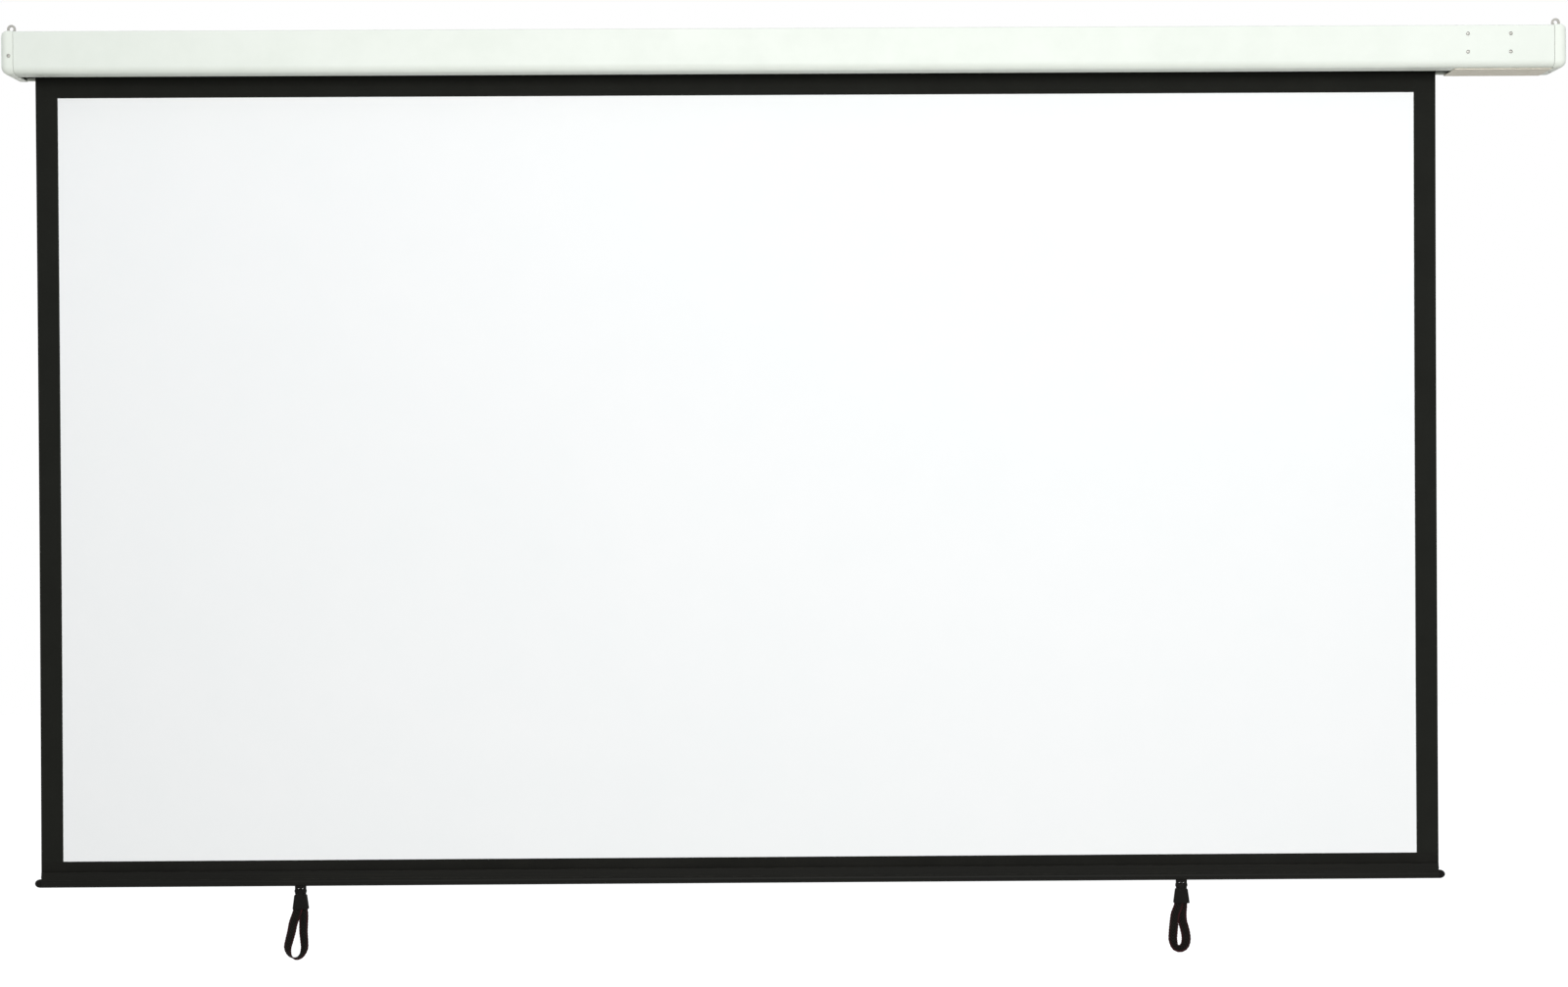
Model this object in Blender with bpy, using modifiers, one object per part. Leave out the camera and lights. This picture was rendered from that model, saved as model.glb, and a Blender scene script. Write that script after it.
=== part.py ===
"""Motorized projector screen, drawn fully lowered.

A steel casing hangs on the wall and holds a roller with a tubular motor inside it. The roller
carries a white sheet with black borders. A weight bar keeps the sheet flat, and two webbing
loops hang from the bar.

Frame: +X runs to the right as seen from the front, +Y runs to the wall and +Z runs up, in
metres. The origin is the centre of the casing's back face.
"""

import math

import bmesh
import bpy
from mathutils import Matrix, Vector

# Gap that touching pieces keep
CLEAR = 0.0003

# Sheet
PICTURE_WIDTH = 2.214
PICTURE_HEIGHT = 1.245
SIDE_BORDER = 0.036
TOP_BORDER_SHOWN = 0.030
BOTTOM_BORDER = 0.0175
SHEET_THICKNESS = 0.0005
SHEET_FROM_WALL = 0.016

# Casing
CASING_HEIGHT = 0.068
CASING_DEPTH = 0.078
CASING_WALL = 0.0012
CASING_EDGE_RADIUS = 0.003
CASING_FRONT_RADIUS = 0.012
SLOT_FROM_FRONT = 0.036
SLOT_FROM_WALL = 0.008
SLOT_RETURN = 0.004
LEFT_MARGIN = 0.016
MOTOR_BAY_LENGTH = 0.1745

# End caps
CAP_LENGTH = 0.022
CAP_PROUD = 0.001
CAP_WALL = 0.002
CAP_FILLET = 0.013
CAP_SCREW_FROM_RIM = 0.007
CAP_SCREW_BELOW_MIDDLE = 0.0057
CAP_SCREW_FROM_FRONT = 0.044

# End brackets and their hanging lugs
BRACKET_SHEET = 0.002
LUG_WIDTH = 0.014
LUG_FROM_RIM = 0.002
LUG_RISE = 0.014
LUG_EYE_RADIUS = 0.0032
LUG_FROM_WALL = 0.056
LUG_ROOT_HEIGHT = 0.030
LUG_STEP = 0.0005
LUG_STEP_ABOVE_CAP = 0.0006
SCREW_TAB_WIDTH = 0.014
SCREW_TAB_LENGTH = 0.0115

# Roller
TUBE_RADIUS = 0.019
TUBE_WALL = 0.0012
TUBE_OVERHANG_LEFT = 0.004
TUBE_OVERHANG_RIGHT = 0.006
WRAP_TURNS = 3
WRAP_GAP = 0.0005
PLUG_FLANGE = 0.002
PLUG_DEPTH = 0.030
BUSH_RADIUS = 0.007
BUSH_COLLAR_RADIUS = 0.0085
IDLER_PIN_RADIUS = 0.004
IDLER_PIN_REACH = 0.028
IDLER_PIN_HEAD_RADIUS = 0.007
IDLER_PIN_HEAD = 0.002

# Motor
MOTOR_RADIUS = 0.0165
MOTOR_LENGTH = 0.420
MOTOR_NECK_RADIUS = 0.0145
MOTOR_NECK_LENGTH = 0.028
CROWN_DEPTH = 0.024
CROWN_FLANGE = 0.002
HEAD_RADIUS = 0.022
HEAD_LENGTH = 0.0146
HEAD_EDGE = 0.0012
HEAD_SCREW_SPACING = 0.028
SHAFT_RADIUS = 0.004
SHAFT_LENGTH = 0.020
SHAFT_SEAT = 0.006
DRIVE_WHEEL_WIDTH = 0.012
DRIVE_WHEEL_HUB_RADIUS = 0.008
DRIVE_WHEEL_RIM = 0.0035
DRIVE_WHEEL_SPOKES = 6
DRIVE_WHEEL_SPOKE = 0.003
LIMIT_SCREW_RADIUS = 0.0025
LIMIT_SCREW_LENGTH = 0.007
LIMIT_SCREW_SPACING = 0.009
LIMIT_SCREWS_BEHIND_AXIS = 0.010
LIMIT_SCREWS_FROM_FACE = 0.0045
LIMIT_SCREW_SUNK = 0.0012
HEX_SOCKET = 0.0026
HEX_DEPTH = 0.003

# Motor bracket
BULKHEAD_SHEET = 0.002
RIVET_SPACING_X = 0.069
RIVET_SPACING_Z = 0.029
RIVET_MIDDLE_HEIGHT = 0.005
RIVET_FROM_BULKHEAD = 0.0095
RIVET_RADIUS = 0.0017
RIVET_HEAD_RADIUS = 0.0030
RIVET_HEAD = 0.0014
FLANGE_MARGIN = 0.0095

# Motor bay: wiring box, lead, grommet and cover
WIRING_BOX_LENGTH = 0.096
WIRING_BOX_DEPTH = 0.028
WIRING_BOX_HEIGHT = 0.042
WIRING_BOX_WALL = 0.0018
WIRING_BOX_FROM_BULKHEAD = 0.024
WIRING_LID = 0.002
LEAD_RADIUS = 0.003
LEAD_FROM_WALL = 0.024
GROMMET_FROM_CAP = 0.034
GROMMET_FROM_WALL = 0.019
GROMMET_NECK_RADIUS = 0.0065
GROMMET_FLANGE_RADIUS = 0.0090
GROMMET_FLANGE = 0.0016
GROMMET_BORE_RADIUS = 0.0042
COVER_FROM_SHEET = 0.017
COVER_THICKNESS = 0.0015
COVER_REAR_MARGIN = 0.002
COVER_RIB = 0.0012
COVER_RIB_HEIGHT = 0.009

# Weight bar
BAR_INSET = 0.001
BAR_HEIGHT = 0.025
BAR_BULB_RADIUS = 0.007
BAR_BULB_BORE_RADIUS = 0.0056
BAR_CHANNEL_WIDTH = 0.009
BAR_CHANNEL_BORE_WIDTH = 0.0066
BAR_CHANNEL_DEPTH = 0.0088
BAR_LIP = 0.0012
BAR_MOUTH = 0.002
HEM_ROD_RADIUS = 0.0018
NOSE_REACH = 0.0105
NOSE_FLANGE = 0.002
NOSE_SPIGOT = 0.010

# Pull loops
PULL_FROM_MIDDLE = 0.7205
SEAT_WIDTH = 0.017
SEAT_DEPTH = 0.009
SEAT_RISE = 0.0025
EAR_GAP = 0.010
PIVOT_BELOW_BAR = 0.008
EAR_RADIUS = 0.0045
SLOT_BELOW_BAR = 0.0032
PULL_PIN_RADIUS = 0.0015
PULL_PIN_HEAD_RADIUS = 0.0024
PULL_PIN_HEAD = 0.0010
SEAT_RIVET_RADIUS = 0.0015
SEAT_RIVET_HEAD_RADIUS = 0.0026
SEAT_RIVET_HEAD = 0.0008
TONGUE_RADIUS = 0.0029
CLIP_TOP_WIDTH = 0.020
CLIP_MOUTH_WIDTH = 0.0265
CLIP_DEPTH = 0.0096
CLIP_HEIGHT = 0.024
CLIP_BELOW_PIVOT = 0.0058
CLIP_EDGE = 0.0018
CLIP_WALL = 0.00125
POCKET_HEIGHT = 0.0145
WEBBING_WIDTH = 0.015
WEBBING_THICKNESS = 0.0022
LEG_STACK = 0.0016
LOOP_STEPS = 3

# Hanging form of each webbing loop, from the right leg's top to the left leg's, as millimetres
# to the right, millimetres below the clip's mouth and degrees of turn about its own line
MILLIMETRE = 0.001
LEFT_LOOP = (
    (2.0, -12.5, 0), (2.4, -5.0, 0), (3.8, 8.0, 0), (4.0, 22.0, 9), (4.6, 37.0, 20),
    (5.6, 52.0, 32), (5.2, 64.0, 45), (0.5, 75.0, 66), (-8.7, 81.0, 90), (-17.5, 75.5, 114),
    (-21.7, 64.0, 135), (-19.4, 52.0, 148), (-15.9, 37.0, 160), (-12.2, 22.0, 171),
    (-6.6, 8.0, 180), (-2.4, -5.0, 180), (-2.0, -12.5, 180))
RIGHT_LOOP = (
    (2.0, -12.5, 0), (2.4, -5.0, 0), (2.6, 6.0, 0), (2.2, 18.0, 10), (3.2, 30.0, 16),
    (5.6, 40.0, 12), (7.7, 50.0, 8), (8.6, 60.0, 12), (5.5, 70.0, 36), (-2.6, 75.4, 56),
    (-11.0, 71.0, 36), (-14.8, 60.0, 10), (-14.6, 50.0, 2), (-13.4, 40.0, 0),
    (-12.2, 30.0, 0), (-10.2, 18.0, 0), (-5.6, 6.0, 0), (-2.2, -5.0, 0), (-2.0, -12.5, 0))

# Facets
ROUND_STEPS = 36
HEAD_STEPS = 38
SMALL_STEPS = 20
CORNER_STEPS = 3
FRONT_CORNER_STEPS = 6
FILLET_STEPS = 6

# Places along X
SHEET_WIDTH = PICTURE_WIDTH + 2 * SIDE_BORDER
CASING_LENGTH = LEFT_MARGIN + SHEET_WIDTH + MOTOR_BAY_LENGTH
CASING_LEFT = -CASING_LENGTH / 2
CASING_RIGHT = CASING_LENGTH / 2
SHEET_LEFT = CASING_LEFT + LEFT_MARGIN
SHEET_RIGHT = SHEET_LEFT + SHEET_WIDTH
SHEET_MIDDLE = (SHEET_LEFT + SHEET_RIGHT) / 2
TUBE_LEFT = SHEET_LEFT - TUBE_OVERHANG_LEFT
TUBE_RIGHT = SHEET_RIGHT + TUBE_OVERHANG_RIGHT
LEFT_PLATE_INNER = CASING_LEFT + BRACKET_SHEET
RIGHT_PLATE_INNER = CASING_RIGHT - BRACKET_SHEET
CROWN_RIGHT = TUBE_RIGHT + CLEAR + CROWN_FLANGE
HEAD_LEFT = CROWN_RIGHT + CLEAR
HEAD_RIGHT = HEAD_LEFT + HEAD_LENGTH
BULKHEAD_LEFT = HEAD_RIGHT + CLEAR
BULKHEAD_RIGHT = BULKHEAD_LEFT + BULKHEAD_SHEET
COVER_LEFT = SHEET_RIGHT + COVER_FROM_SHEET

# Places across, along Y and Z
TOP = CASING_HEIGHT / 2
BOTTOM = -CASING_HEIGHT / 2
FRONT = -CASING_DEPTH
SLOT_FRONT = FRONT + SLOT_FROM_FRONT
SLOT_REAR = -SLOT_FROM_WALL
SHEET_Y = -SHEET_FROM_WALL
WRAP_PITCH = SHEET_THICKNESS + WRAP_GAP
WRAP_INNER_RADIUS = TUBE_RADIUS + CLEAR
WRAP_OUTER_RADIUS = WRAP_INNER_RADIUS + WRAP_TURNS * WRAP_PITCH + SHEET_THICKNESS / 2
ROLLER_Y = SHEET_Y - WRAP_OUTER_RADIUS
TUBE_BORE_RADIUS = TUBE_RADIUS - TUBE_WALL
PLUG_RADIUS = TUBE_BORE_RADIUS - CLEAR
INNER_EDGE = CASING_WALL + CLEAR
PICTURE_TOP = BOTTOM - TOP_BORDER_SHOWN
PICTURE_BOTTOM = PICTURE_TOP - PICTURE_HEIGHT
BAR_TOP = PICTURE_BOTTOM - BOTTOM_BORDER
BAR_BOTTOM = BAR_TOP - BAR_HEIGHT
BULB_Z = BAR_BOTTOM + BAR_BULB_RADIUS
CHANNEL_FLOOR = BAR_TOP - BAR_LIP - BAR_CHANNEL_DEPTH
HEM_RADIUS = HEM_ROD_RADIUS + CLEAR + SHEET_THICKNESS
HEM_ROD_Z = CHANNEL_FLOOR + CLEAR + HEM_RADIUS
PIVOT_Z = BAR_BOTTOM - PIVOT_BELOW_BAR
CLIP_TOP = PIVOT_Z - CLIP_BELOW_PIVOT
CLIP_BOTTOM = CLIP_TOP - CLIP_HEIGHT

PARTS = "motorized_projector_screen"
CUTTERS = "cutters"


def clear_scene():
    """Remove what the file starts with."""
    for thing in list(bpy.data.objects):
        bpy.data.objects.remove(thing, do_unlink=True)
    for name in (PARTS, CUTTERS):
        bpy.context.scene.collection.children.link(bpy.data.collections.new(name))


def finish(name, colour, roughness, metallic=0.0):
    """A Principled material with one plain colour."""
    material = bpy.data.materials.new(name)
    material.use_nodes = True
    shader = material.node_tree.nodes["Principled BSDF"]
    shader.inputs["Base Color"].default_value = (*colour, 1.0)
    shader.inputs["Roughness"].default_value = roughness
    shader.inputs["Metallic"].default_value = metallic
    material.diffuse_color = (*colour, 1.0)
    return material


def move_to(thing, collection):
    """Put an object in one collection only."""
    for old in list(thing.users_collection):
        old.objects.unlink(thing)
    bpy.data.collections[collection].objects.link(thing)


def mesh_object(name, mesh):
    """A new object in the parts collection."""
    thing = bpy.data.objects.new(name, mesh)
    bpy.data.collections[PARTS].objects.link(thing)
    return thing


def shade_round(thing, angle=35):
    """Shade the round faces of a mesh smooth and keep its corners sharp."""
    thing.data.shade_smooth()
    thing.data.set_sharp_from_angle(angle=math.radians(angle))


def block(name, low, high):
    """A box between two corners."""
    middle = (Vector(low) + Vector(high)) / 2
    size = Vector(high) - Vector(low)
    bpy.ops.mesh.primitive_cube_add(size=1.0, location=middle)
    thing = bpy.context.active_object
    thing.name = name
    thing.scale = size
    bpy.ops.object.transform_apply(location=False, rotation=False, scale=True)
    move_to(thing, PARTS)
    return thing


def rod(name, radius, start, end, steps=SMALL_STEPS):
    """A round rod between two points."""
    start = Vector(start)
    end = Vector(end)
    run = end - start
    bpy.ops.mesh.primitive_cylinder_add(
        vertices=steps, radius=radius, depth=run.length, location=(start + end) / 2)
    thing = bpy.context.active_object
    thing.name = name
    thing.rotation_euler = run.to_track_quat("Z", "Y").to_euler()
    move_to(thing, PARTS)
    shade_round(thing)
    return thing


def turned(name, profile, origin, direction, steps=ROUND_STEPS, closed=False):
    """A turned piece: (radius, height) points down its outer side, spun about a line."""
    shape = bmesh.new()
    verts = [shape.verts.new((radius, 0.0, height)) for radius, height in profile]
    for first, second in zip(verts, verts[1:]):
        shape.edges.new((first, second))
    if closed:
        shape.edges.new((verts[-1], verts[0]))
    mesh = bpy.data.meshes.new(name)
    shape.to_mesh(mesh)
    shape.free()
    thing = mesh_object(name, mesh)
    thing.location = origin
    thing.rotation_euler = Vector(direction).to_track_quat("Z", "Y").to_euler()
    screw = thing.modifiers.new("turn", "SCREW")
    screw.axis = "Z"
    screw.angle = math.tau
    screw.steps = steps
    screw.render_steps = steps
    screw.use_merge_vertices = True
    screw.merge_threshold = 0.00001
    screw.use_smooth_shade = True
    return thing


def flat_plate(name, loops, thickness, middle, across, up):
    """A flat piece: closed outlines drawn in a plane, the first outside and the rest holes.

    The plane holds the unit vectors across and up, and the plate lies half to each side of it.
    """
    curve = bpy.data.curves.new(name, "CURVE")
    curve.dimensions = "2D"
    curve.fill_mode = "BOTH"
    curve.extrude = thickness / 2
    for loop in loops:
        spline = curve.splines.new("POLY")
        spline.points.add(len(loop) - 1)
        for point, (right, high) in zip(spline.points, loop):
            point.co = (right, high, 0.0, 1.0)
        spline.use_cyclic_u = True
    drawn = bpy.data.objects.new(name + "_outline", curve)
    bpy.context.scene.collection.objects.link(drawn)
    across = Vector(across)
    up = Vector(up)
    place = Matrix((across, up, across.cross(up))).transposed().to_4x4()
    place.translation = Vector(middle)
    drawn.matrix_world = place
    bpy.context.view_layer.update()
    seen = drawn.evaluated_get(bpy.context.evaluated_depsgraph_get())
    mesh = bpy.data.meshes.new_from_object(seen)
    shape = bmesh.new()
    shape.from_mesh(mesh)
    bmesh.ops.remove_doubles(shape, verts=shape.verts, dist=0.00001)
    bmesh.ops.recalc_face_normals(shape, faces=shape.faces)
    shape.to_mesh(mesh)
    shape.free()
    thing = mesh_object(name, mesh)
    thing.matrix_world = drawn.matrix_world
    bpy.data.objects.remove(drawn, do_unlink=True)
    shade_round(thing)
    return thing


def loft(name, rings):
    """A closed body through rings of equal count, with a flat face over each end ring."""
    shape = bmesh.new()
    loops = [[shape.verts.new(point) for point in ring] for ring in rings]
    count = len(loops[0])
    for lower, upper in zip(loops, loops[1:]):
        for here in range(count):
            there = (here + 1) % count
            shape.faces.new((lower[here], lower[there], upper[there], upper[here]))
    shape.faces.new(reversed(loops[0]))
    shape.faces.new(loops[-1])
    bmesh.ops.recalc_face_normals(shape, faces=shape.faces)
    mesh = bpy.data.meshes.new(name)
    shape.to_mesh(mesh)
    shape.free()
    thing = mesh_object(name, mesh)
    shade_round(thing)
    return thing


def combine(thing, tool, operation):
    """Cut a tool out of a piece or join it on, and keep the tool as a hidden wire object."""
    boolean = thing.modifiers.new(tool.name, "BOOLEAN")
    boolean.operation = operation
    boolean.solver = "EXACT"
    boolean.object = tool
    tool.hide_render = True
    tool.display_type = "WIRE"
    move_to(tool, CUTTERS)


def cut(thing, *tools):
    """Cut one or more tools out of a piece."""
    for tool in tools:
        combine(thing, tool, "DIFFERENCE")


def join(thing, *tools):
    """Join one or more tools on to a piece."""
    for tool in tools:
        combine(thing, tool, "UNION")


def round_edges(thing, width, segments=2, angle=40):
    """Round the sharp edges of a piece."""
    bevel = thing.modifiers.new("edges", "BEVEL")
    bevel.width = width
    bevel.segments = segments
    bevel.limit_method = "ANGLE"
    bevel.angle_limit = math.radians(angle)


def paint(material, *things):
    """Give pieces their material, and shade the flats of a cut piece evenly."""
    for thing in things:
        thing.data.materials.clear()
        thing.data.materials.append(material)
        if any(modifier.type in ("BOOLEAN", "SOLIDIFY") for modifier in thing.modifiers):
            shading = thing.modifiers.new("shading", "WEIGHTED_NORMAL")
            shading.keep_sharp = True
            shading.weight = 100


def hang_on(axis_name, place, *things):
    """Parent pieces to an empty that stands on their joint's axis."""
    axis = bpy.data.objects.new(axis_name, None)
    bpy.data.collections[PARTS].objects.link(axis)
    axis.location = place
    bpy.context.view_layer.update()
    for thing in things:
        thing.parent = axis
        thing.matrix_parent_inverse = axis.matrix_world.inverted()


def arc(middle, radius, start, end, steps):
    """Points along an arc, angles in degrees, both ends included."""
    points = []
    for step in range(steps + 1):
        angle = math.radians(start + (end - start) * step / steps)
        points.append((middle[0] + radius * math.cos(angle), middle[1] + radius * math.sin(angle)))
    return points


def circle(middle, radius, steps=SMALL_STEPS):
    """Points round a full circle."""
    return arc(middle, radius, 0, 360, steps)[:-1]


def casing_outline(front, rear, top, bottom, edge_radius, front_radius):
    """Closed outline in Y and Z with a large lower front corner and three small corners."""
    small = edge_radius
    large = front_radius
    outline = arc((rear - small, bottom + small), small, -90, 0, CORNER_STEPS)
    outline += arc((rear - small, top - small), small, 0, 90, CORNER_STEPS)
    outline += arc((front + small, top - small), small, 90, 180, CORNER_STEPS)
    outline += arc((front + large, bottom + large), large, 180, 270, FRONT_CORNER_STEPS)
    return outline


def make_casing(white):
    """The folded profile: open along the slot, with its two lips turned up inside."""
    outline = casing_outline(FRONT, 0.0, TOP, BOTTOM, CASING_EDGE_RADIUS, CASING_FRONT_RADIUS)
    section = [(SLOT_REAR, BOTTOM + SLOT_RETURN), (SLOT_REAR, BOTTOM)]
    section += outline
    section += [(SLOT_FRONT, BOTTOM), (SLOT_FRONT, BOTTOM + SLOT_RETURN)]
    shape = bmesh.new()
    verts = [shape.verts.new((CASING_LEFT, y, z)) for y, z in section]
    edges = [shape.edges.new(pair) for pair in zip(verts, verts[1:])]
    swept = bmesh.ops.extrude_edge_only(shape, edges=edges)["geom"]
    moved = [item for item in swept if isinstance(item, bmesh.types.BMVert)]
    bmesh.ops.translate(shape, verts=moved, vec=(CASING_LENGTH, 0, 0))
    bmesh.ops.recalc_face_normals(shape, faces=shape.faces)
    mesh = bpy.data.meshes.new("casing")
    shape.to_mesh(mesh)
    shape.free()
    casing = mesh_object("casing", mesh)
    shade_round(casing)
    wall = casing.modifiers.new("wall", "SOLIDIFY")
    wall.thickness = CASING_WALL
    wall.offset = -1.0
    wall.use_even_offset = True
    for number, (x, z) in enumerate(rivet_places()):
        cut(casing, rod(f"rivet_hole_{number + 1}", RIVET_RADIUS + CLEAR,
                        (x, FRONT - CASING_WALL, z), (x, FRONT + 2 * CASING_WALL, z)))
    x, y = grommet_place()
    cut(casing, rod("grommet_hole", GROMMET_NECK_RADIUS + CLEAR,
                    (x, y, TOP - 2 * CASING_WALL), (x, y, TOP + CASING_WALL)))
    paint(white, casing)


def rivet_places():
    """X and Z of the four rivets of the motor bracket, left pair first."""
    left = BULKHEAD_RIGHT + RIVET_FROM_BULKHEAD
    high = RIVET_MIDDLE_HEIGHT + RIVET_SPACING_Z / 2
    low = RIVET_MIDDLE_HEIGHT - RIVET_SPACING_Z / 2
    return [(x, z) for x in (left, left + RIVET_SPACING_X) for z in (high, low)]


def grommet_place():
    """X and Y of the cable grommet in the casing's top."""
    return CASING_RIGHT - GROMMET_FROM_CAP, -GROMMET_FROM_WALL


def cap_ring(x, inset, wall):
    """One ring of an end cap, drawn in from the cap's full outline."""
    grow = CAP_PROUD - inset - wall
    smallest = 0.0006
    return [(x, y, z) for y, z in casing_outline(
        FRONT - grow, -inset - wall, TOP + grow, BOTTOM - grow,
        max(CASING_EDGE_RADIUS + grow, smallest), max(CASING_FRONT_RADIUS + grow, smallest))]


def cap_rings(side, wall):
    """Rings of a cap's outer or inner skin, from its rim to its end face."""
    rim = side * (CASING_RIGHT + CLEAR)
    end = CAP_LENGTH - CLEAR - wall
    radius = CAP_FILLET - wall
    rings = [cap_ring(rim, 0.0, wall)]
    for step in range(FILLET_STEPS + 1):
        angle = math.pi / 2 * step / FILLET_STEPS
        along = end - radius + radius * math.sin(angle)
        rings.append(cap_ring(rim + side * along, radius * (1 - math.cos(angle)), wall))
    return rings


def make_cap(name, side, white, steel):
    """A moulded cap: an open cup with a filleted end, a notch for the lug and a screw."""
    inner = cap_rings(side, CAP_WALL)
    outer = cap_rings(side, 0.0)
    cap = loft(name, inner[::-1] + outer)
    cut(cap, block(name + "_lug_slot", *ordered(
        (side * CASING_RIGHT, -LUG_FROM_WALL - BRACKET_SHEET / 2 - CLEAR, 0.0),
        (side * (lug_far() + CLEAR), -LUG_FROM_WALL + BRACKET_SHEET / 2 + CLEAR, TOP + LUG_RISE))))
    seat, inward = cap_screw_place(side)
    seat = Vector(seat)
    inward = Vector(inward)
    hole = rod(name + "_screw_hole", RIVET_RADIUS + CLEAR,
               seat - inward * CAP_WALL, seat + inward * 2 * CAP_WALL)
    cut(cap, hole)
    screw = turned(
        name.replace("end_cap", "cap_screw"),
        dome_profile(RIVET_HEAD_RADIUS, RIVET_HEAD, RIVET_RADIUS, 2 * CAP_WALL + 0.004),
        seat - inward * CLEAR, -inward, SMALL_STEPS)
    paint(white, cap)
    paint(steel, screw)


def cap_screw_place(side):
    """Where a cap's screw seats on its skin, and the direction into the cap."""
    x = side * (CASING_RIGHT + CAP_SCREW_FROM_RIM)
    if side < 0:
        return (x, FRONT - CAP_PROUD, -CAP_SCREW_BELOW_MIDDLE), (0, 1, 0)
    return (x, FRONT + CAP_SCREW_FROM_FRONT, BOTTOM - CAP_PROUD), (0, 0, 1)


def dome_profile(head_radius, head, shank_radius, shank):
    """Outer side of a domed fastener, head up, with the head's seat at height 0."""
    profile = [(0.0, head)]
    profile += [(head_radius * math.sin(math.radians(angle)), head * math.cos(math.radians(angle)))
                for angle in (30, 60, 80)]
    profile += [(head_radius, 0.0), (shank_radius, 0.0), (shank_radius, -shank), (0.0, -shank)]
    return profile


def ordered(first, second):
    """The lowest and the highest corner of a box given by any two opposite corners."""
    low = tuple(min(pair) for pair in zip(first, second))
    high = tuple(max(pair) for pair in zip(first, second))
    return low, high


def lug_near():
    """Distance from the middle to the lug's nearer edge."""
    return CASING_RIGHT + LUG_FROM_RIM


def lug_far():
    """Distance from the middle to the lug's farther edge."""
    return lug_near() + LUG_WIDTH


def plate_outline():
    """Outline of a plate that stands across the inside of the casing, above the lips."""
    return casing_outline(
        FRONT + INNER_EDGE, -INNER_EDGE, TOP - INNER_EDGE, BOTTOM + SLOT_RETURN + CLEAR,
        CASING_EDGE_RADIUS, CASING_FRONT_RADIUS - INNER_EDGE)


def make_end_bracket(name, side, steel):
    """A folded end bracket: a plate across the casing, a lug with an eye and a screw tab.

    The lug steps forward above the end cap, so that its ear stands clear of the cap.
    """
    plate_middle = side * (CASING_RIGHT - BRACKET_SHEET / 2)
    holes = []
    if side < 0:
        holes.append(circle((ROLLER_Y, 0.0), IDLER_PIN_RADIUS + CLEAR))
    bracket = flat_plate(name, [plate_outline()] + holes, BRACKET_SHEET,
                         (plate_middle, 0, 0), (0, 1, 0), (0, 0, 1))
    top = TOP + LUG_RISE
    eye = (side * (lug_near() + lug_far()) / 2, top - LUG_WIDTH / 2)
    fold = side * (CASING_RIGHT - BRACKET_SHEET / 2)
    low = TOP - LUG_ROOT_HEIGHT
    high = TOP - CASING_EDGE_RADIUS
    foot = TOP + CAP_PROUD + LUG_STEP_ABOVE_CAP
    lap = (foot + eye[1] - LUG_EYE_RADIUS) / 2
    near = side * lug_near()
    far = side * lug_far()
    root = flat_plate(name + "_lug",
                      [[(fold, high), (fold, low), (far, low), (far, lap), (near, lap), (near, high)]],
                      BRACKET_SHEET, (0, -LUG_FROM_WALL, 0), (1, 0, 0), (0, 0, 1))
    outline = [(far, foot)] + arc(eye, LUG_WIDTH / 2, 90 - side * 90, 90 + side * 90, 8)
    outline.append((near, foot))
    ear = flat_plate(name + "_ear", [outline, circle(eye, LUG_EYE_RADIUS)], BRACKET_SHEET,
                     (0, -LUG_FROM_WALL - LUG_STEP, 0), (1, 0, 0), (0, 0, 1))
    join(bracket, root, ear)
    seat, inward = cap_screw_place(side)
    half = SCREW_TAB_WIDTH / 2
    reach = side * (CASING_RIGHT + SCREW_TAB_LENGTH)
    if side < 0:
        front = FRONT + INNER_EDGE + CLEAR
        tab = block(name + "_tab", *ordered((fold, front, seat[2] - half),
                                            (reach, front + BRACKET_SHEET, seat[2] + half)))
    else:
        floor = BOTTOM + SLOT_RETURN + CLEAR
        tab = block(name + "_tab", *ordered((fold, seat[1] - half, floor),
                                            (reach, seat[1] + half, floor + BRACKET_SHEET)))
    join(bracket, tab)
    seat = Vector(seat)
    inward = Vector(inward)
    cut(bracket, rod(name + "_tab_hole", RIVET_RADIUS + CLEAR, seat, seat + inward * 0.014))
    paint(steel, bracket)


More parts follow.
